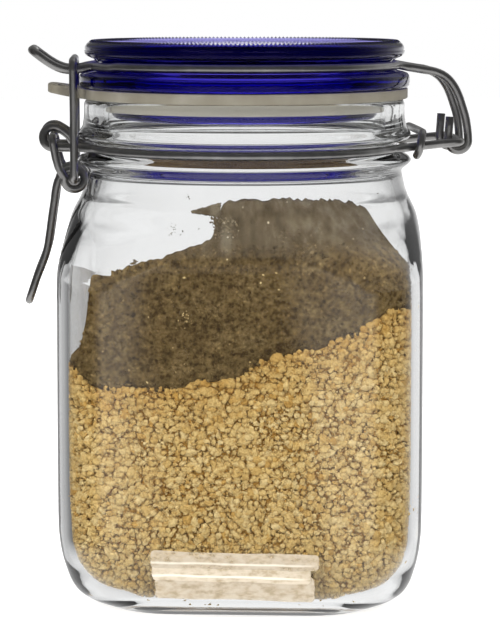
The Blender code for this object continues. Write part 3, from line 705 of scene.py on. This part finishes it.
# The film's left tip, in bits, and the few specks higher up on the clean glass
for _ in range(620):
    reach = dice.random() ** 1.35
    height = 0.1203 - 0.0007 * reach + dice.uniform(-1, 1) * 0.0018 * (1.04 - reach)
    stick_crumb(-96.2 - 9.6 * reach, height, dice.uniform(0.0004, 0.0010), dice.uniform(0.30, 0.62), 0.0)
for _ in range(170):
    drop = dice.random()
    stick_crumb(-97.4 + 1.0 * drop + dice.gauss(0, 0.8), 0.1198 - 0.0052 * drop,
                dice.uniform(0.0003, 0.0009), dice.uniform(0.25, 0.66), 0.0)
WALL_AWAY, RADIAN = 0.048, 57.3
for degrees, z, spread, count in (
        (-107.5, 0.1234, 0.0004, 5), (-102.5, 0.1152, 0.0002, 2), (-111.2, 0.1136, 0.0009, 12),
        (-108.2, 0.1137, 0.0003, 3), (-110.8, 0.1149, 0.0004, 3), (-31.7, 0.1231, 0.0003, 2)):
    for _ in range(count):
        stick_crumb(degrees + dice.gauss(0, spread / WALL_AWAY * RADIAN), z + dice.gauss(0, spread),
                    dice.uniform(0.0002, 0.0005), 0.3, 0.0)
powder_crumbs = scatter("powder_crumbs", placed, brown_powder)
for piece in (powder, powder_crumbs):
    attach(piece, "jar")
    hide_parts("powder")


# ---------------------------------------------------------------- Tape
# Three short strips of clear tape, yellowed and creased, laid over each other across the front face.
# Each strip follows the heel's curve and stands off the glass where it has wrinkled.

TAPE_CENTRE, TAPE_THICKNESS = -0.0008, 0.00010
# Each strip's edges, how far it stands off the glass, its ends, how much it hides, and the upper edge of
# the strip that lies below it
STRIPS = [
    ("tape_low", 0.0078, 0.0156, 0.00018, -0.0229, 0.0233, 0.56, 0),
    ("tape_middle", 0.0136, 0.0196, 0.00032, -0.0238, 0.0222, 0.80, 0.0156),
    ("tape_high", 0.0177, 0.0227, 0.00046, -0.0241, 0.0245, 0.46, 0.0196)]


def front_face(x, z, off):
    """A point off the jar's front face, which curves in at the heel."""
    half = flowing(OUTER_SIDE, z)
    lean = math.atan2(flowing(OUTER_SIDE, z + 0.001) - flowing(OUTER_SIDE, z - 0.001), 0.002)
    half += off * math.cos(lean)
    return Vector((x * math.cos(BODY_TURN) + half * math.sin(BODY_TURN),
                   x * math.sin(BODY_TURN) - half * math.cos(BODY_TURN), z - off * math.sin(lean)))


cream_tape, nodes, links, shader = new_material("cream_tape")
stains = cloudy(480, 4, (0.7, 1, 1.2), 0.6)
cream = ramp(stains, [
    (0.34, (0.40, 0.325, 0.215)), (0.46, (0.495, 0.42, 0.315)), (0.60, (0.53, 0.46, 0.36))])
# Where the tape is creased it has gone paler
creased = blended(cream, (0.66, 0.60, 0.50), attribute("crease"))
links.new(creased, shader.inputs["Base Color"])
# How much of what is behind each strip it hides
patchy = ramp(stains, [(0.36, (0.0, 0.0, 0.0)), (0.58, (0.14, 0.14, 0.14))])
opacity = nodes.new("ShaderNodeMath")
opacity.operation = "ADD"
opacity.use_clamp = True
links.new(attribute("hiding"), opacity.inputs[0])
links.new(patchy, opacity.inputs[1])
links.new(opacity.outputs["Value"], shader.inputs["Alpha"])
shader.inputs["Roughness"].default_value = 0.5
shader.inputs["Specular IOR Level"].default_value = 0.2
wrinkles = cloudy(420, 3, (0.25, 1, 1.4))
raised_by(wrinkles, 0.35, 0.0005)

tape_pieces = []
for name, low, high, lift, left, right, hides, edge in STRIPS:
    bpy.ops.mesh.primitive_grid_add(x_subdivisions=150, y_subdivisions=64, size=2, location=(0, 0, 0))
    strip = bpy.context.object
    strip.name = name
    mesh = edit(strip)
    folded = mesh.verts.layers.float.new("crease")
    hidden = mesh.verts.layers.float.new("hiding")
    for vertex in mesh.verts:
        across, up = vertex.co.x, vertex.co.y
        # Its corners are rounded and its ends a little torn
        corner = max(0.0, abs(up) - 0.45) / 0.55
        tear = noise.noise(Vector((up * 2.5, lift * 9000, math.copysign(3, across))))
        torn = 1 - 0.045 * corner ** 3 + 0.012 * tear
        x = TAPE_CENTRE + (left + right) / 2 + (right - left) / 2 * across * torn
        wander = 0.00035 * noise.noise(Vector((x * 90, lift * 9000, up * 0.4)))
        sag = -0.0007 * (x - left) / (right - left)
        z = (low + high) / 2 + (high - low) / 2 * up + wander + sag
        # A pale crease runs over the upper edge of the strip below it and fades to the right
        wave = noise.noise(Vector((x * 130, lift * 8000, 0)))
        line = (edge - z + wander + sag) / 0.0011 - 0.34 - 0.14 * wave
        fade = min(1.0, max(0.0, 1.35 - abs(across + 0.10) ** 4))
        crease = max(0.0, 1 - abs(line) * 2.3) * fade
        vertex[folded] = min(1.0, 1.5 * crease)
        vertex[hidden] = hides + 0.3 * crease
        wrinkle = 0.00010 * (noise.noise(Vector((x * 160, z * 900, 2.2))) + 1) ** 2 + 0.00005 * crease
        vertex.co = front_face(x, z, lift + wrinkle)
    bpy.ops.object.mode_set(mode="OBJECT")
    thick = strip.modifiers.new("tape_thickness", "SOLIDIFY")
    thick.thickness = TAPE_THICKNESS
    thick.offset = 0
    bpy.ops.object.modifier_apply(modifier="tape_thickness")
    edit(strip)
    close_edit(strip)
    strip.data.materials.append(cream_tape)
    tape_pieces.append(strip)
for piece in tape_pieces:
    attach(piece, "jar")
    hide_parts("tape_strip")


# ---------------------------------------------------------------- Neck wire
# One dulled steel wire round the neck groove: a U at the hinge and a closed eye each side of the latch.

FRAME_WIRE = 0.00127
HINGE = Vector((0.06415, 0, 0.1376))
NECK_ARM_Y = 0.0155
EYE_Y, EYE, EYE_RADIUS = 0.0083, Vector((-0.0578, 0, 0.1389)), 0.0030
NECK_WIRE_RADIUS, NECK_GROOVE_Z = 0.04785, 0.1358
# A bend or a turn has a point for every so many degrees, a run round the neck for fewer
BEND_STEP, RUN_STEP = 9, 4
CLOSEST = 0.00012

dull_steel, nodes, links, shader = new_material("dull_steel")
tarnish = cloudy(260, 5)
metal = ramp(tarnish, [
    (0.35, (0.36, 0.355, 0.347)), (0.55, (0.42, 0.413, 0.404)), (0.75, (0.49, 0.482, 0.472))])
links.new(metal, shader.inputs["Base Color"])
shader.inputs["Metallic"].default_value = 1.0
wear = cloudy(700, 4)
polish = ramp(wear, [(0.35, (0.29, 0.29, 0.29)), (0.7, (0.35, 0.35, 0.35))])
links.new(polish, shader.inputs["Roughness"])
raised_by(wear, 0.04, 0.0001)


def bend(corners):
    """A path through corners given as (point, bend radius), with each bend an arc in its own plane."""
    path = []
    points = [Vector(point) for point, _ in corners]
    for i, (_, radius) in enumerate(corners):
        here = points[i]
        if radius == 0 or i in (0, len(corners) - 1):
            path.append(here)
            continue
        back, ahead = (points[i - 1] - here).normalized(), (points[i + 1] - here).normalized()
        half = back.angle(ahead) / 2
        centre = here + (back + ahead).normalized() * radius / math.sin(half)
        start = here + back * radius / math.tan(half) - centre
        end = here + ahead * radius / math.tan(half) - centre
        sweep = start.angle(end)
        steps = max(2, round(math.degrees(sweep) / BEND_STEP))
        for k in range(steps + 1):
            path.append(centre + start * (math.sin((1 - k / steps) * sweep) / math.sin(sweep))
                        + end * (math.sin(k / steps * sweep) / math.sin(sweep)))
    return path


def turn_of_wire(x, z, radius, start, end, y_start, y_end):
    """A turn seen from the front, in degrees, drifting from one depth to another."""
    steps = max(2, round(abs(end - start) / BEND_STEP))
    turns = [(math.radians(start + (end - start) * k / steps), k / steps) for k in range(steps + 1)]
    return [Vector((x + radius * math.cos(a), y_start + (y_end - y_start) * t, z + radius * math.sin(a)))
            for a, t in turns]


def round_neck(radius, z, start, end):
    """A run round the neck, in degrees from the hinge."""
    steps = max(2, round(abs(end - start) / RUN_STEP))
    turns = [math.radians(start + (end - start) * k / steps) for k in range(steps + 1)]
    return [Vector((radius * math.cos(a), radius * math.sin(a), z)) for a in turns]


def at_depth(y, spots):
    """Points at one depth, from where they are seen from the front."""
    return [Vector((x, y, z)) for x, z in spots]


def other_side(points):
    """The same points on the far side, in the order that carries the wire on."""
    return [Vector((p.x, -p.y, p.z)) for p in reversed(points)]


def wire_along(name, points, radius, closed=False):
    """Bend a wire: a curve drawn through its points, given a round section and made a mesh."""
    kept = []
    for point in points:
        if not kept or (point - kept[-1]).length > CLOSEST:
            kept.append(point)
    if closed and (kept[0] - kept[-1]).length < CLOSEST:
        kept.pop()
    bpy.ops.object.select_all(action="DESELECT")
    bpy.ops.curve.primitive_bezier_curve_add(location=(0, 0, 0))
    made = bpy.context.object
    made.name = name
    spline = made.data.splines[0]
    spline.bezier_points.add(len(kept) - len(spline.bezier_points))
    for spot, point in zip(spline.bezier_points, kept):
        spot.co = point
        spot.handle_left_type = spot.handle_right_type = "AUTO"
    spline.use_cyclic_u = closed
    made.data.dimensions = "3D"
    made.data.resolution_u = 3
    made.data.bevel_depth = radius
    made.data.bevel_resolution = 5
    made.data.use_fill_caps = not closed
    bpy.ops.object.convert(target="MESH")
    mesh = edit(made)
    bpy.ops.mesh.select_all(action="SELECT")
    bpy.ops.mesh.remove_doubles(threshold=0.000005)
    if not closed:
        # A cut wire's end has its sharp edge taken off
        bpy.ops.mesh.select_all(action="DESELECT")
        for face in mesh.faces:
            if len(face.verts) > 6:
                face.select_set(True)
        bpy.ops.mesh.inset(thickness=radius * 0.28, depth=0)
        ends = [(face, face.normal.copy()) for face in mesh.faces if face.select]
        for face, normal in ends:
            for vertex in face.verts:
                vertex.co += normal * radius * 0.22
    close_edit(made)
    made.data.materials.append(dull_steel)
    return made


low_y, high_y = EYE_Y + 0.0013, EYE_Y - 0.0015
leave = math.degrees(math.asin(NECK_ARM_Y / NECK_WIRE_RADIUS)) + 5.5
near = bend([((HINGE.x, 0, HINGE.z), 0), ((HINGE.x, -NECK_ARM_Y, HINGE.z), 0.0026),
             ((0.0575, -NECK_ARM_Y, 0.1370), 0), ((0.0500, -NECK_ARM_Y, 0.1362), 0.006),
             (round_neck(NECK_WIRE_RADIUS, NECK_GROOVE_Z, -leave, 0)[0], 0)])
near += round_neck(NECK_WIRE_RADIUS, NECK_GROOVE_Z, -leave, -162)
near += [Vector((-0.0482, -low_y - 0.0016, NECK_GROOVE_Z)), Vector((-0.0510, -low_y, NECK_GROOVE_Z))]
near += turn_of_wire(EYE.x, EYE.z, EYE_RADIUS, 270, 60, -low_y, -high_y)
near += [Vector(p) for p in ((-0.0533, -high_y, 0.1394), (-0.0518, -high_y + 0.0002, 0.1374),
                             (-0.0499, -high_y + 0.0006, 0.1362), (-0.0478, -0.0055, NECK_GROOVE_Z),
                             (-NECK_WIRE_RADIUS, -0.0020, NECK_GROOVE_Z))]
neck_ring = wire_along("neck_ring", near + other_side(near), FRAME_WIRE, closed=True)
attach(neck_ring, "jar")
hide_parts("neck_wire")


# ---------------------------------------------------------------- Neck clip
# A short yoke of wire that ties the two arms of the hinge's U, wrapped down and under each of them.

LATCH_WIRE = 0.00121
CLIP_X, CLIP_RADIUS, CLIP_LEAN, CLIP_Z = 0.0524, 0.0034, 0.0019, 0.1369
wrap = turn_of_wire(0, 0, CLIP_RADIUS, -70, 90, 0, 0)
near = [Vector((CLIP_X - CLIP_LEAN * (1 - i / (len(wrap) - 1)), -NECK_ARM_Y - p.x, CLIP_Z + p.z * 1.03))
        for i, p in enumerate(wrap)]
yoke = wire_along("neck_yoke", near + other_side(near), LATCH_WIRE)
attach(yoke, "jar")
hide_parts("neck_clip")


# ---------------------------------------------------------------- Lid
# A pressed cobalt blue glass lid, hollow below: a plug that drops into the mouth, a flange over the
# gasket, a groove for its wire, a rolled edge and a finely knurled ring round the sunken top.

TEETH = 228
LID_PATH = [
    (0.0060, 0.1612), (0.0180, 0.1612), (0.0270, 0.1611), (0.0305, 0.1608), (0.0322, 0.1601),
    (0.0331, 0.1588), (0.0336, 0.1570), (0.0340, 0.1540), (0.0343, 0.1510), (0.0346, 0.1480),
    (0.0350, 0.1460), (0.0357, 0.1445), (0.0370, 0.1438), (0.0385, 0.1441), (0.0396, 0.1449),
    (0.0401, 0.1460), (0.0403, 0.1475), (0.0404, 0.1500), (0.0405, 0.1518), (0.0408, 0.1529),
    (0.0414, 0.1533), (0.0430, 0.1533), (0.0460, 0.1533), (0.0484, 0.1533), (0.0494, 0.1536),
    (0.0499, 0.1543), (0.0500, 0.1552), (0.0500, 0.1563), (0.0498, 0.1572), (0.0492, 0.1578),
    (0.0480, 0.1582), (0.0466, 0.1585), (0.0455, 0.1589), (0.0450, 0.1596), (0.0449, 0.1604),
    (0.0450, 0.1614), (0.0457, 0.1621), (0.0468, 0.1625), (0.0478, 0.1630), (0.0483, 0.1638),
    (0.0484, 0.1645), (0.0481, 0.16485), (0.0483, 0.1652), (0.0481, 0.1659), (0.0476, 0.1666),
    (0.0470, 0.1670)]
KNURL = [(0.0467, 0.16735), (0.0463, 0.1676), (0.0457, 0.1676), (0.0451, 0.1674)]
KNURL_DEPTHS, KNURL_RADIUS = (0.00045, 0.00060, 0.00060, 0.00045), 0.046
LID_WELL = [
    (0.0447, 0.1669), (0.0442, 0.1665), (0.0434, 0.1664), (0.0400, 0.1664), (0.0300, 0.1664),
    (0.0180, 0.1664), (0.0060, 0.1664)]

lid, mesh = start_from_circle("lid_body", TEETH * 4, *LID_PATH[0])
radius_now, z_now = LID_PATH[0]
knurled = []
for radius, z in LID_PATH[1:] + KNURL + LID_WELL:
    bpy.ops.mesh.extrude_region_move(TRANSFORM_OT_translate={"value": (0, 0, z - z_now)})
    bpy.ops.transform.resize(value=(radius / radius_now, radius / radius_now, 1), center_override=(0, 0, z))
    if (radius, z) in KNURL:
        knurled.append([v for v in mesh.verts if v.select])
    radius_now, z_now = radius, z
# The knurl's grooves go down into the ring and a little inwards
for ring, depth in zip(knurled, KNURL_DEPTHS):
    for vertex in ring:
        tooth = math.atan2(vertex.co.y, vertex.co.x) * TEETH
        cut = depth * (0.5 - 0.5 * math.cos(tooth)) ** 0.7
        vertex.co.z -= cut
        vertex.co.xy *= 1 - cut * 0.6 / KNURL_RADIUS
close_edit(lid)

cobalt_glass, nodes, links, shader = new_material("cobalt_glass")
shader.inputs["Base Color"].default_value = (0.86, 0.90, 1.0, 1)
shader.inputs["Specular Tint"].default_value = (0.30, 0.24, 0.70, 1)
finish_glass(1.52, (0.25, 0.30, 0.85), (0.12, 0.0, 0.83), 200)
smears = cloudy(90, 4)
smear_ramp = ramp(smears, [(0.45, (0.02, 0.02, 0.02)), (0.75, (0.12, 0.12, 0.12))])
links.new(smear_ramp, shader.inputs["Roughness"])
waves = cloudy(160, 2)
raised_by(waves, 0.10, 0.0012)
lid.data.materials.append(cobalt_glass)
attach(lid, "lid")
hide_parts("lid_glass")


# ---------------------------------------------------------------- Lid wire
# One wire round the lid's groove: J hooks on the hinge bar at one side, the latch hook at the other.

LID_WIRE_RADIUS, LID_WIRE_Z = 0.0466, 0.1603
HINGE_ARM_Y, HINGE_LOOP_RADIUS, HOOK_Y = 0.0090, 0.00305, 0.0096
near = [Vector((0.0615, -HINGE_ARM_Y, 0.1447))]
near += turn_of_wire(HINGE.x - 0.00005, HINGE.z, HINGE_LOOP_RADIUS, 180, 360, -HINGE_ARM_Y, -HINGE_ARM_Y)
near += at_depth(-HINGE_ARM_Y, ((0.0664, 0.1437), (0.0651, 0.1480), (0.0639, 0.1513), (0.0624, 0.1541),
                                (0.0600, 0.1567), (0.0568, 0.1582), (0.0535, 0.1588), (0.0505, 0.1593)))
leave = math.degrees(math.asin((HINGE_ARM_Y + 0.0026) / LID_WIRE_RADIUS))
near.append(Vector((0.0478, -HINGE_ARM_Y - 0.0006, 0.1598)))
ring = round_neck(LID_WIRE_RADIUS, LID_WIRE_Z, -leave, -180 + leave)
for point in ring[-5:]:
    point.z -= 0.0003
near += ring
near.append(Vector((-0.0478, -HOOK_Y - 0.0004, 0.1596)))
near += at_depth(-HOOK_Y, ((-0.0496, 0.1592), (-0.0533, 0.1590), (-0.0560, 0.1597), (-0.0588, 0.1612),
                           (-0.0612, 0.1629)))
near += bend([(near[-1], 0), ((-0.0637, -HOOK_Y, 0.1648), 0.0027), ((-0.0637, 0, 0.1648), 0)])[1:]
lid_ring = wire_along("lid_ring", near + other_side(near), FRAME_WIRE)
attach(lid_ring, "lid")
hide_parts("lid_wire")


# ---------------------------------------------------------------- Gasket
# A ring of aged cream rubber under the lid's flange, with a lip down inside the mouth and a slotted
# pull tab at the latch.

GASKET_INNER, GASKET_OUTER, TAB_REACH = 0.0411, 0.0494, 0.0594
LIP_OUTER, LIP_LOW = 0.0421, 0.1467
TAB_HALF_ANGLE, TAB_RISE = math.radians(10.0), 0.0014
GASKET_LOW, GASKET_HIGH = 0.15025, 0.15335
EDGE, BIT = 0.0004, 0.0004 * 0.3
SLOT_PLACE, SLOT_SIZE, SLOT_ROUNDING = (-0.0553, 0, 0.1535), (0.0022, 0.0090, 0.008), 0.00105
# Each stop is a radius, a height, and how much of the tab's reach and rise it has
SIDE = GASKET_OUTER - EDGE
GASKET_PATH = [
    (GASKET_INNER, LIP_LOW + EDGE, 0, 0), (GASKET_INNER + BIT, LIP_LOW + BIT, 0, 0),
    (GASKET_INNER + EDGE, LIP_LOW, 0, 0), (LIP_OUTER - BIT, LIP_LOW + BIT, 0, 0),
    (LIP_OUTER, LIP_LOW + EDGE, 0, 0), (LIP_OUTER, GASKET_LOW - EDGE, 0, 0),
    (LIP_OUTER + EDGE, GASKET_LOW, 0, 0), (0.0455, GASKET_LOW, 0, 0), (SIDE, GASKET_LOW, 0.02, 0),
    (SIDE, GASKET_LOW, 0.35, 0.35), (SIDE, GASKET_LOW, 0.70, 0.85), (SIDE, GASKET_LOW, 1, 1.35),
    (GASKET_OUTER - BIT, GASKET_LOW + BIT, 1, 1.35), (GASKET_OUTER, GASKET_LOW + EDGE, 1, 1.32),
    (GASKET_OUTER, GASKET_HIGH - EDGE, 1, 1), (GASKET_OUTER - BIT, GASKET_HIGH - BIT, 1, 1),
    (SIDE, GASKET_HIGH, 1, 1), (SIDE, GASKET_HIGH, 0.70, 0.55), (SIDE, GASKET_HIGH, 0.35, 0.15),
    (SIDE, GASKET_HIGH, 0.02, 0), (0.0455, GASKET_HIGH, 0, 0), (GASKET_INNER + EDGE, GASKET_HIGH, 0, 0),
    (GASKET_INNER + BIT, GASKET_HIGH - BIT, 0, 0), (GASKET_INNER, GASKET_HIGH - EDGE, 0, 0)]

gasket_angles = []
for i in range(360):
    angle = math.tau * i / 360
    if abs(angle - math.pi) > TAB_HALF_ANGLE * 1.12:
        gasket_angles.append(angle)
gasket_angles += [math.pi + TAB_HALF_ANGLE * math.sin(k / 36 * math.pi / 2) for k in range(-36, 37)]
gasket_angles.sort()
gasket, mesh = start_from_circle("gasket_ring", len(gasket_angles), GASKET_INNER, fill="NOTHING")
order = sorted(mesh.verts, key=lambda v: math.atan2(v.co.y, v.co.x) % math.tau)
for vertex, angle in zip(order, gasket_angles):
    vertex.co = (GASKET_INNER * math.cos(angle), GASKET_INNER * math.sin(angle),
                 (GASKET_LOW + GASKET_HIGH) / 2)


def gasket_point(angle, radius, z, reach, rise):
    """A point of one ring, pulled out and lifted where the tab is."""
    angle %= math.tau
    off = abs((angle - math.pi) / TAB_HALF_ANGLE)
    weight = 0.0 if off >= 1 else (1 - off ** 6) ** (1 / 6)
    out = radius + (TAB_REACH - GASKET_OUTER) * weight * reach
    return out * math.cos(angle), out * math.sin(angle), z + TAB_RISE * weight * rise


for ring in GASKET_PATH:
    draw_up(mesh, gasket_point, *ring)
bpy.ops.mesh.select_all(action="DESELECT")
for edge in mesh.edges:
    if edge.is_boundary:
        edge.select_set(True)
bpy.ops.mesh.bridge_edge_loops()
close_edit(gasket)
# The tab's slot
bpy.ops.mesh.primitive_cube_add(size=1, location=SLOT_PLACE)
slot = bpy.context.object
slot.scale = SLOT_SIZE
bpy.ops.object.transform_apply(location=True, rotation=True, scale=True)
edit(slot)
bpy.ops.mesh.select_all(action="DESELECT")
bpy.ops.mesh.select_mode(type="EDGE")
mesh = bmesh.from_edit_mesh(slot.data)
for edge in mesh.edges:
    if abs(edge.verts[0].co.z - edge.verts[1].co.z) > 0.004:
        edge.select_set(True)
bpy.ops.mesh.bevel(offset=SLOT_ROUNDING, segments=5)
close_edit(slot)
bpy.ops.object.select_all(action="DESELECT")
bpy.context.view_layer.objects.active = gasket
gasket.select_set(True)
cut = gasket.modifiers.new("tab_slot", "BOOLEAN")
cut.operation, cut.object, cut.solver = "DIFFERENCE", slot, "EXACT"
bpy.ops.object.modifier_apply(modifier="tab_slot")
bpy.data.objects.remove(slot, do_unlink=True)
bpy.ops.object.shade_smooth_by_angle(angle=math.radians(40))
gasket.select_set(False)

cream_rubber, nodes, links, shader = new_material("cream_rubber")
age = cloudy(120, 5)
rubber = ramp(age, [
    (0.3, (0.135, 0.120, 0.088)), (0.55, (0.160, 0.146, 0.112)), (0.75, (0.20, 0.186, 0.150))])
# The lip in the mouth is painted paler: painted light where it lies in shade under the lid
lip_light_mask = nodes.new("ShaderNodeMath")
lip_light_mask.operation = "LESS_THAN"
lip_light_mask.inputs[1].default_value = GASKET_LOW - 0.0001
links.new(own_height(), lip_light_mask.inputs[0])
lip_painted_light = blended(rubber, (0.46, 0.43, 0.36), lip_light_mask.outputs["Value"])
links.new(lip_painted_light, shader.inputs["Base Color"])
shader.inputs["Roughness"].default_value = 0.55
shader.inputs["Specular IOR Level"].default_value = 0.35
dull = cloudy(1500, 3)
raised_by(dull, 0.25, 0.0002)
gasket.data.materials.append(cream_rubber)
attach(gasket, "lid")
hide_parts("gasket")


# ---------------------------------------------------------------- Lever
# One wire: its ends turn in through the neck wire's eyes, it makes a turn for the link on each side,
# and its middle is the handle.

LEVER_ARM_Y, HANDLE_Y = 0.01235, 0.0093
COIL, COIL_RADIUS = Vector((-0.0515, 0, 0.1265)), 0.00295
pivot_x, pivot_z = EYE.x - 0.0002, EYE.z - 0.0001
near = bend([((pivot_x, -EYE_Y + 0.0040, pivot_z), 0), ((pivot_x, -LEVER_ARM_Y, pivot_z), 0.0016),
             ((-0.0562, -LEVER_ARM_Y, 0.1303), 0)])
near += turn_of_wire(COIL.x, COIL.z, COIL_RADIUS, 170, 470, -LEVER_ARM_Y, -HANDLE_Y)
near += at_depth(-HANDLE_Y, ((-0.0546, 0.1286), (-0.0561, 0.1267), (-0.0570, 0.1240), (-0.0576, 0.1200),
                             (-0.0584, 0.1150), (-0.0592, 0.1095), (-0.0600, 0.1052), (-0.0613, 0.1014),
                             (-0.0632, 0.0967)))
near += bend([(near[-1], 0), ((-0.0657, -HANDLE_Y, 0.0894), 0.0042), ((-0.0657, 0, 0.0894), 0)])[1:]
lever = wire_along("lever_bail", near + other_side(near), LATCH_WIRE)
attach(lever, "lever")
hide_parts("lever_wire")


# ---------------------------------------------------------------- Link
# A wire hoop whose bar lies in the lid's hook and whose ends turn in through the lever's turns.

LINK_Y, LINK_BAR = 0.0151, Vector((-0.0515, 0, 0.1618))
near = bend([((COIL.x, -HANDLE_Y + 0.0030, COIL.z), 0), ((COIL.x, -LINK_Y, COIL.z), 0.0014),
             ((COIL.x + 0.0001, -LINK_Y, 0.1450), 0), ((LINK_BAR.x, -LINK_Y, LINK_BAR.z), 0.0030),
             ((LINK_BAR.x, 0, LINK_BAR.z), 0)])
link = wire_along("link_hoop", near + other_side(near), LATCH_WIRE)
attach(link, "link")
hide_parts("link_wire")


# ---------------------------------------------------------------- Studio
# A plain pale floor in a white room, lit by two soft panels in front and a wide one above. The glass
# and the wires mirror a room that is white behind, bright low down in front, and dim above that.

floor_shade, nodes, links, shader = new_material("studio_floor")
shader.inputs["Base Color"].default_value = (0.95, 0.95, 0.95, 1)
shader.inputs["Roughness"].default_value = 0.7
shader.inputs["Emission Color"].default_value = (1, 1, 1, 1)
shader.inputs["Emission Strength"].default_value = 0.55
bpy.ops.mesh.primitive_plane_add(size=6, location=(0, 0, -0.0002))
floor = bpy.context.object
floor.name = "studio_floor"
floor.data.materials.append(floor_shade)
floor.visible_glossy = False
floor.visible_transmission = False


def soft_panel(name, place, aim, width, height, power):
    lamp = bpy.data.lights.new(name, "AREA")
    lamp.shape, lamp.size, lamp.size_y, lamp.energy = "RECTANGLE", width, height, power
    made = bpy.data.objects.new(name, lamp)
    made.location = place
    made.rotation_euler = (Vector(aim) - Vector(place)).to_track_quat("-Z", "Y").to_euler()
    made.visible_glossy = False
    # It gives no light to a ray that the glass has mirrored, but all of it to what lies in the glass
    lamp.use_nodes = True
    glow, wires = lamp.node_tree.nodes, lamp.node_tree.links
    path = glow.new("ShaderNodeLightPath")
    steps = []
    for operation, value in (("LESS_THAN", 0.5), ("MAXIMUM", None), ("MINIMUM", 1)):
        steps.append(glow.new("ShaderNodeMath"))
        steps[-1].operation = operation
        if value is not None:
            steps[-1].inputs[1].default_value = value
        if len(steps) > 1:
            wires.new(steps[-2].outputs["Value"], steps[-1].inputs[0])
    wires.new(path.outputs["Glossy Depth"], steps[0].inputs[0])
    wires.new(path.outputs["Diffuse Depth"], steps[1].inputs[1])
    wires.new(steps[2].outputs["Value"], glow["Emission"].inputs["Strength"])
    bpy.context.collection.objects.link(made)


soft_panel("panel_left", (-0.75, -0.80, 0.55), (0, 0, 0.1), 0.6, 0.9, 8.5)
soft_panel("panel_right", (0.65, -0.90, 0.55), (0, 0, 0.1), 0.6, 0.9, 7.0)
soft_panel("panel_top", (0, 0.1, 1.1), (0, 0, 0.1), 1.2, 1.2, 11)

world = bpy.data.worlds.new("studio_room")
world.use_nodes = True
room, wires_of = world.node_tree.nodes, world.node_tree.links
path = room.new("ShaderNodeLightPath")
facing = room.new("ShaderNodeTexCoord")
parts = room.new("ShaderNodeSeparateXYZ")
wires_of.new(facing.outputs["Generated"], parts.inputs["Vector"])


def reckon(operation, a, b=0.0):
    """One sum on two values, each a number or another sum's result."""
    made = room.new("ShaderNodeMath")
    made.operation = operation
    for socket, value in zip(made.inputs, (a, b)):
        if isinstance(value, (int, float)):
            socket.default_value = value
        else:
            wires_of.new(value, socket)
    return made.outputs["Value"]


def between(value, low, high, start, end):
    """A smooth change from start to end as the value goes from low to high."""
    made = room.new("ShaderNodeMapRange")
    made.interpolation_type = "SMOOTHSTEP"
    wires_of.new(value, made.inputs["Value"])
    for name, number in (("From Min", low), ("From Max", high), ("To Min", start), ("To Max", end)):
        made.inputs[name].default_value = number
    return made.outputs["Result"]


def plus(a, b):
    return reckon("ADD", a, b)


def minus(a, b):
    return reckon("SUBTRACT", a, b)


def times(a, b):
    return reckon("MULTIPLY", a, b)


mirror_ray, glass_ray = path.outputs["Is Glossy Ray"], path.outputs["Is Transmission Ray"]
# Degrees to the right of straight in front, and degrees above the horizon
compass = reckon("DEGREES", reckon("ARCTAN2", parts.outputs["X"], times(parts.outputs["Y"], -1)))
height = reckon("DEGREES", reckon("ARCSINE", parts.outputs["Z"]))
# In front and low down are two bright screens with a dark strip between them, below the camera. What is
# mirrored on the outside also shows a dark room to the left and right of them, and a bright near floor.
off_line = reckon("ABSOLUTE", plus(compass, 8.3))
screens = minus(1, times(mirror_ray, between(off_line, 26, 48, 0.0, 0.92)))
near_floor = times(mirror_ray, between(height, -34, -17, 0.75, 0.0))
low_front = reckon("MAXIMUM", times(between(off_line, 1.5, 3.3, 0.10, 0.75), screens), near_floor)
# Above them is a dim wall
above_table = between(height, -4.6, -1.4, 0.0, 1.0)
wall = plus(0.07, times(glass_ray, 0.45))
front = plus(times(low_front, minus(1, above_table)), times(wall, above_table))
# Behind, from the sides on, a sheet is white: a low one, as what is mirrored on the outside shows
turned_off = minus(reckon("ABSOLUTE", plus(compass, times(mirror_ray, 16))), times(mirror_ray, 50))
behind = between(turned_off, 40, 120, 0.0, 1.0)
beside = between(reckon("ABSOLUTE", compass), 120, 165, 0.35, 0.80)
above_sheet = times(between(height, 0, 8, 0.0, 1.0), beside)
sheet = times(behind, minus(1, times(mirror_ray, above_sheet)))
mirrored = plus(times(front, minus(1, behind)), sheet)
# A ray that has gone through both of the jar's sides sees plain white, as the camera does
shallow = reckon("LESS_THAN", path.outputs["Transmission Depth"], 2.5)
bounced = reckon("MAXIMUM", mirror_ray, times(glass_ray, shallow))
through = times(between(height, -17.5, -13, 0.45, 1.0), minus(1, bounced))
seen = plus(times(mirrored, bounced), through)
soft_ray = path.outputs["Is Diffuse Ray"]
strength = plus(times(soft_ray, 0.58), times(seen, minus(1, soft_ray)))
wires_of.new(strength, room["Background"].inputs["Strength"])
room["Background"].inputs["Color"].default_value = (1, 1, 1, 1)
bpy.context.scene.world = world
bpy.context.scene.view_settings.view_transform = "Standard"

# The photo is 500 x 634 pixels, and its camera stands a little to the left and looks down
PHOTO_WIDTH, PHOTO_HEIGHT, SENSOR = 500, 634, 36
FOCAL_PIXELS, CENTRE_PIXEL = 2159, 244.5
AWAY, CAMERA_Z, TO_THE_LEFT, DOWN = 0.658, 0.1823, math.radians(3.1), math.radians(8.6)
camera = bpy.data.cameras.new("camera")
camera.sensor_width = SENSOR
camera.lens = FOCAL_PIXELS * SENSOR / PHOTO_HEIGHT
camera.shift_x = (PHOTO_WIDTH / 2 - CENTRE_PIXEL) / PHOTO_HEIGHT
viewer = bpy.data.objects.new("camera", camera)
viewer.location = (-AWAY * math.sin(TO_THE_LEFT), -AWAY * math.cos(TO_THE_LEFT), CAMERA_Z)
viewer.rotation_euler = (math.pi / 2 - DOWN, 0, -TO_THE_LEFT)
bpy.context.collection.objects.link(viewer)
bpy.context.scene.camera = viewer
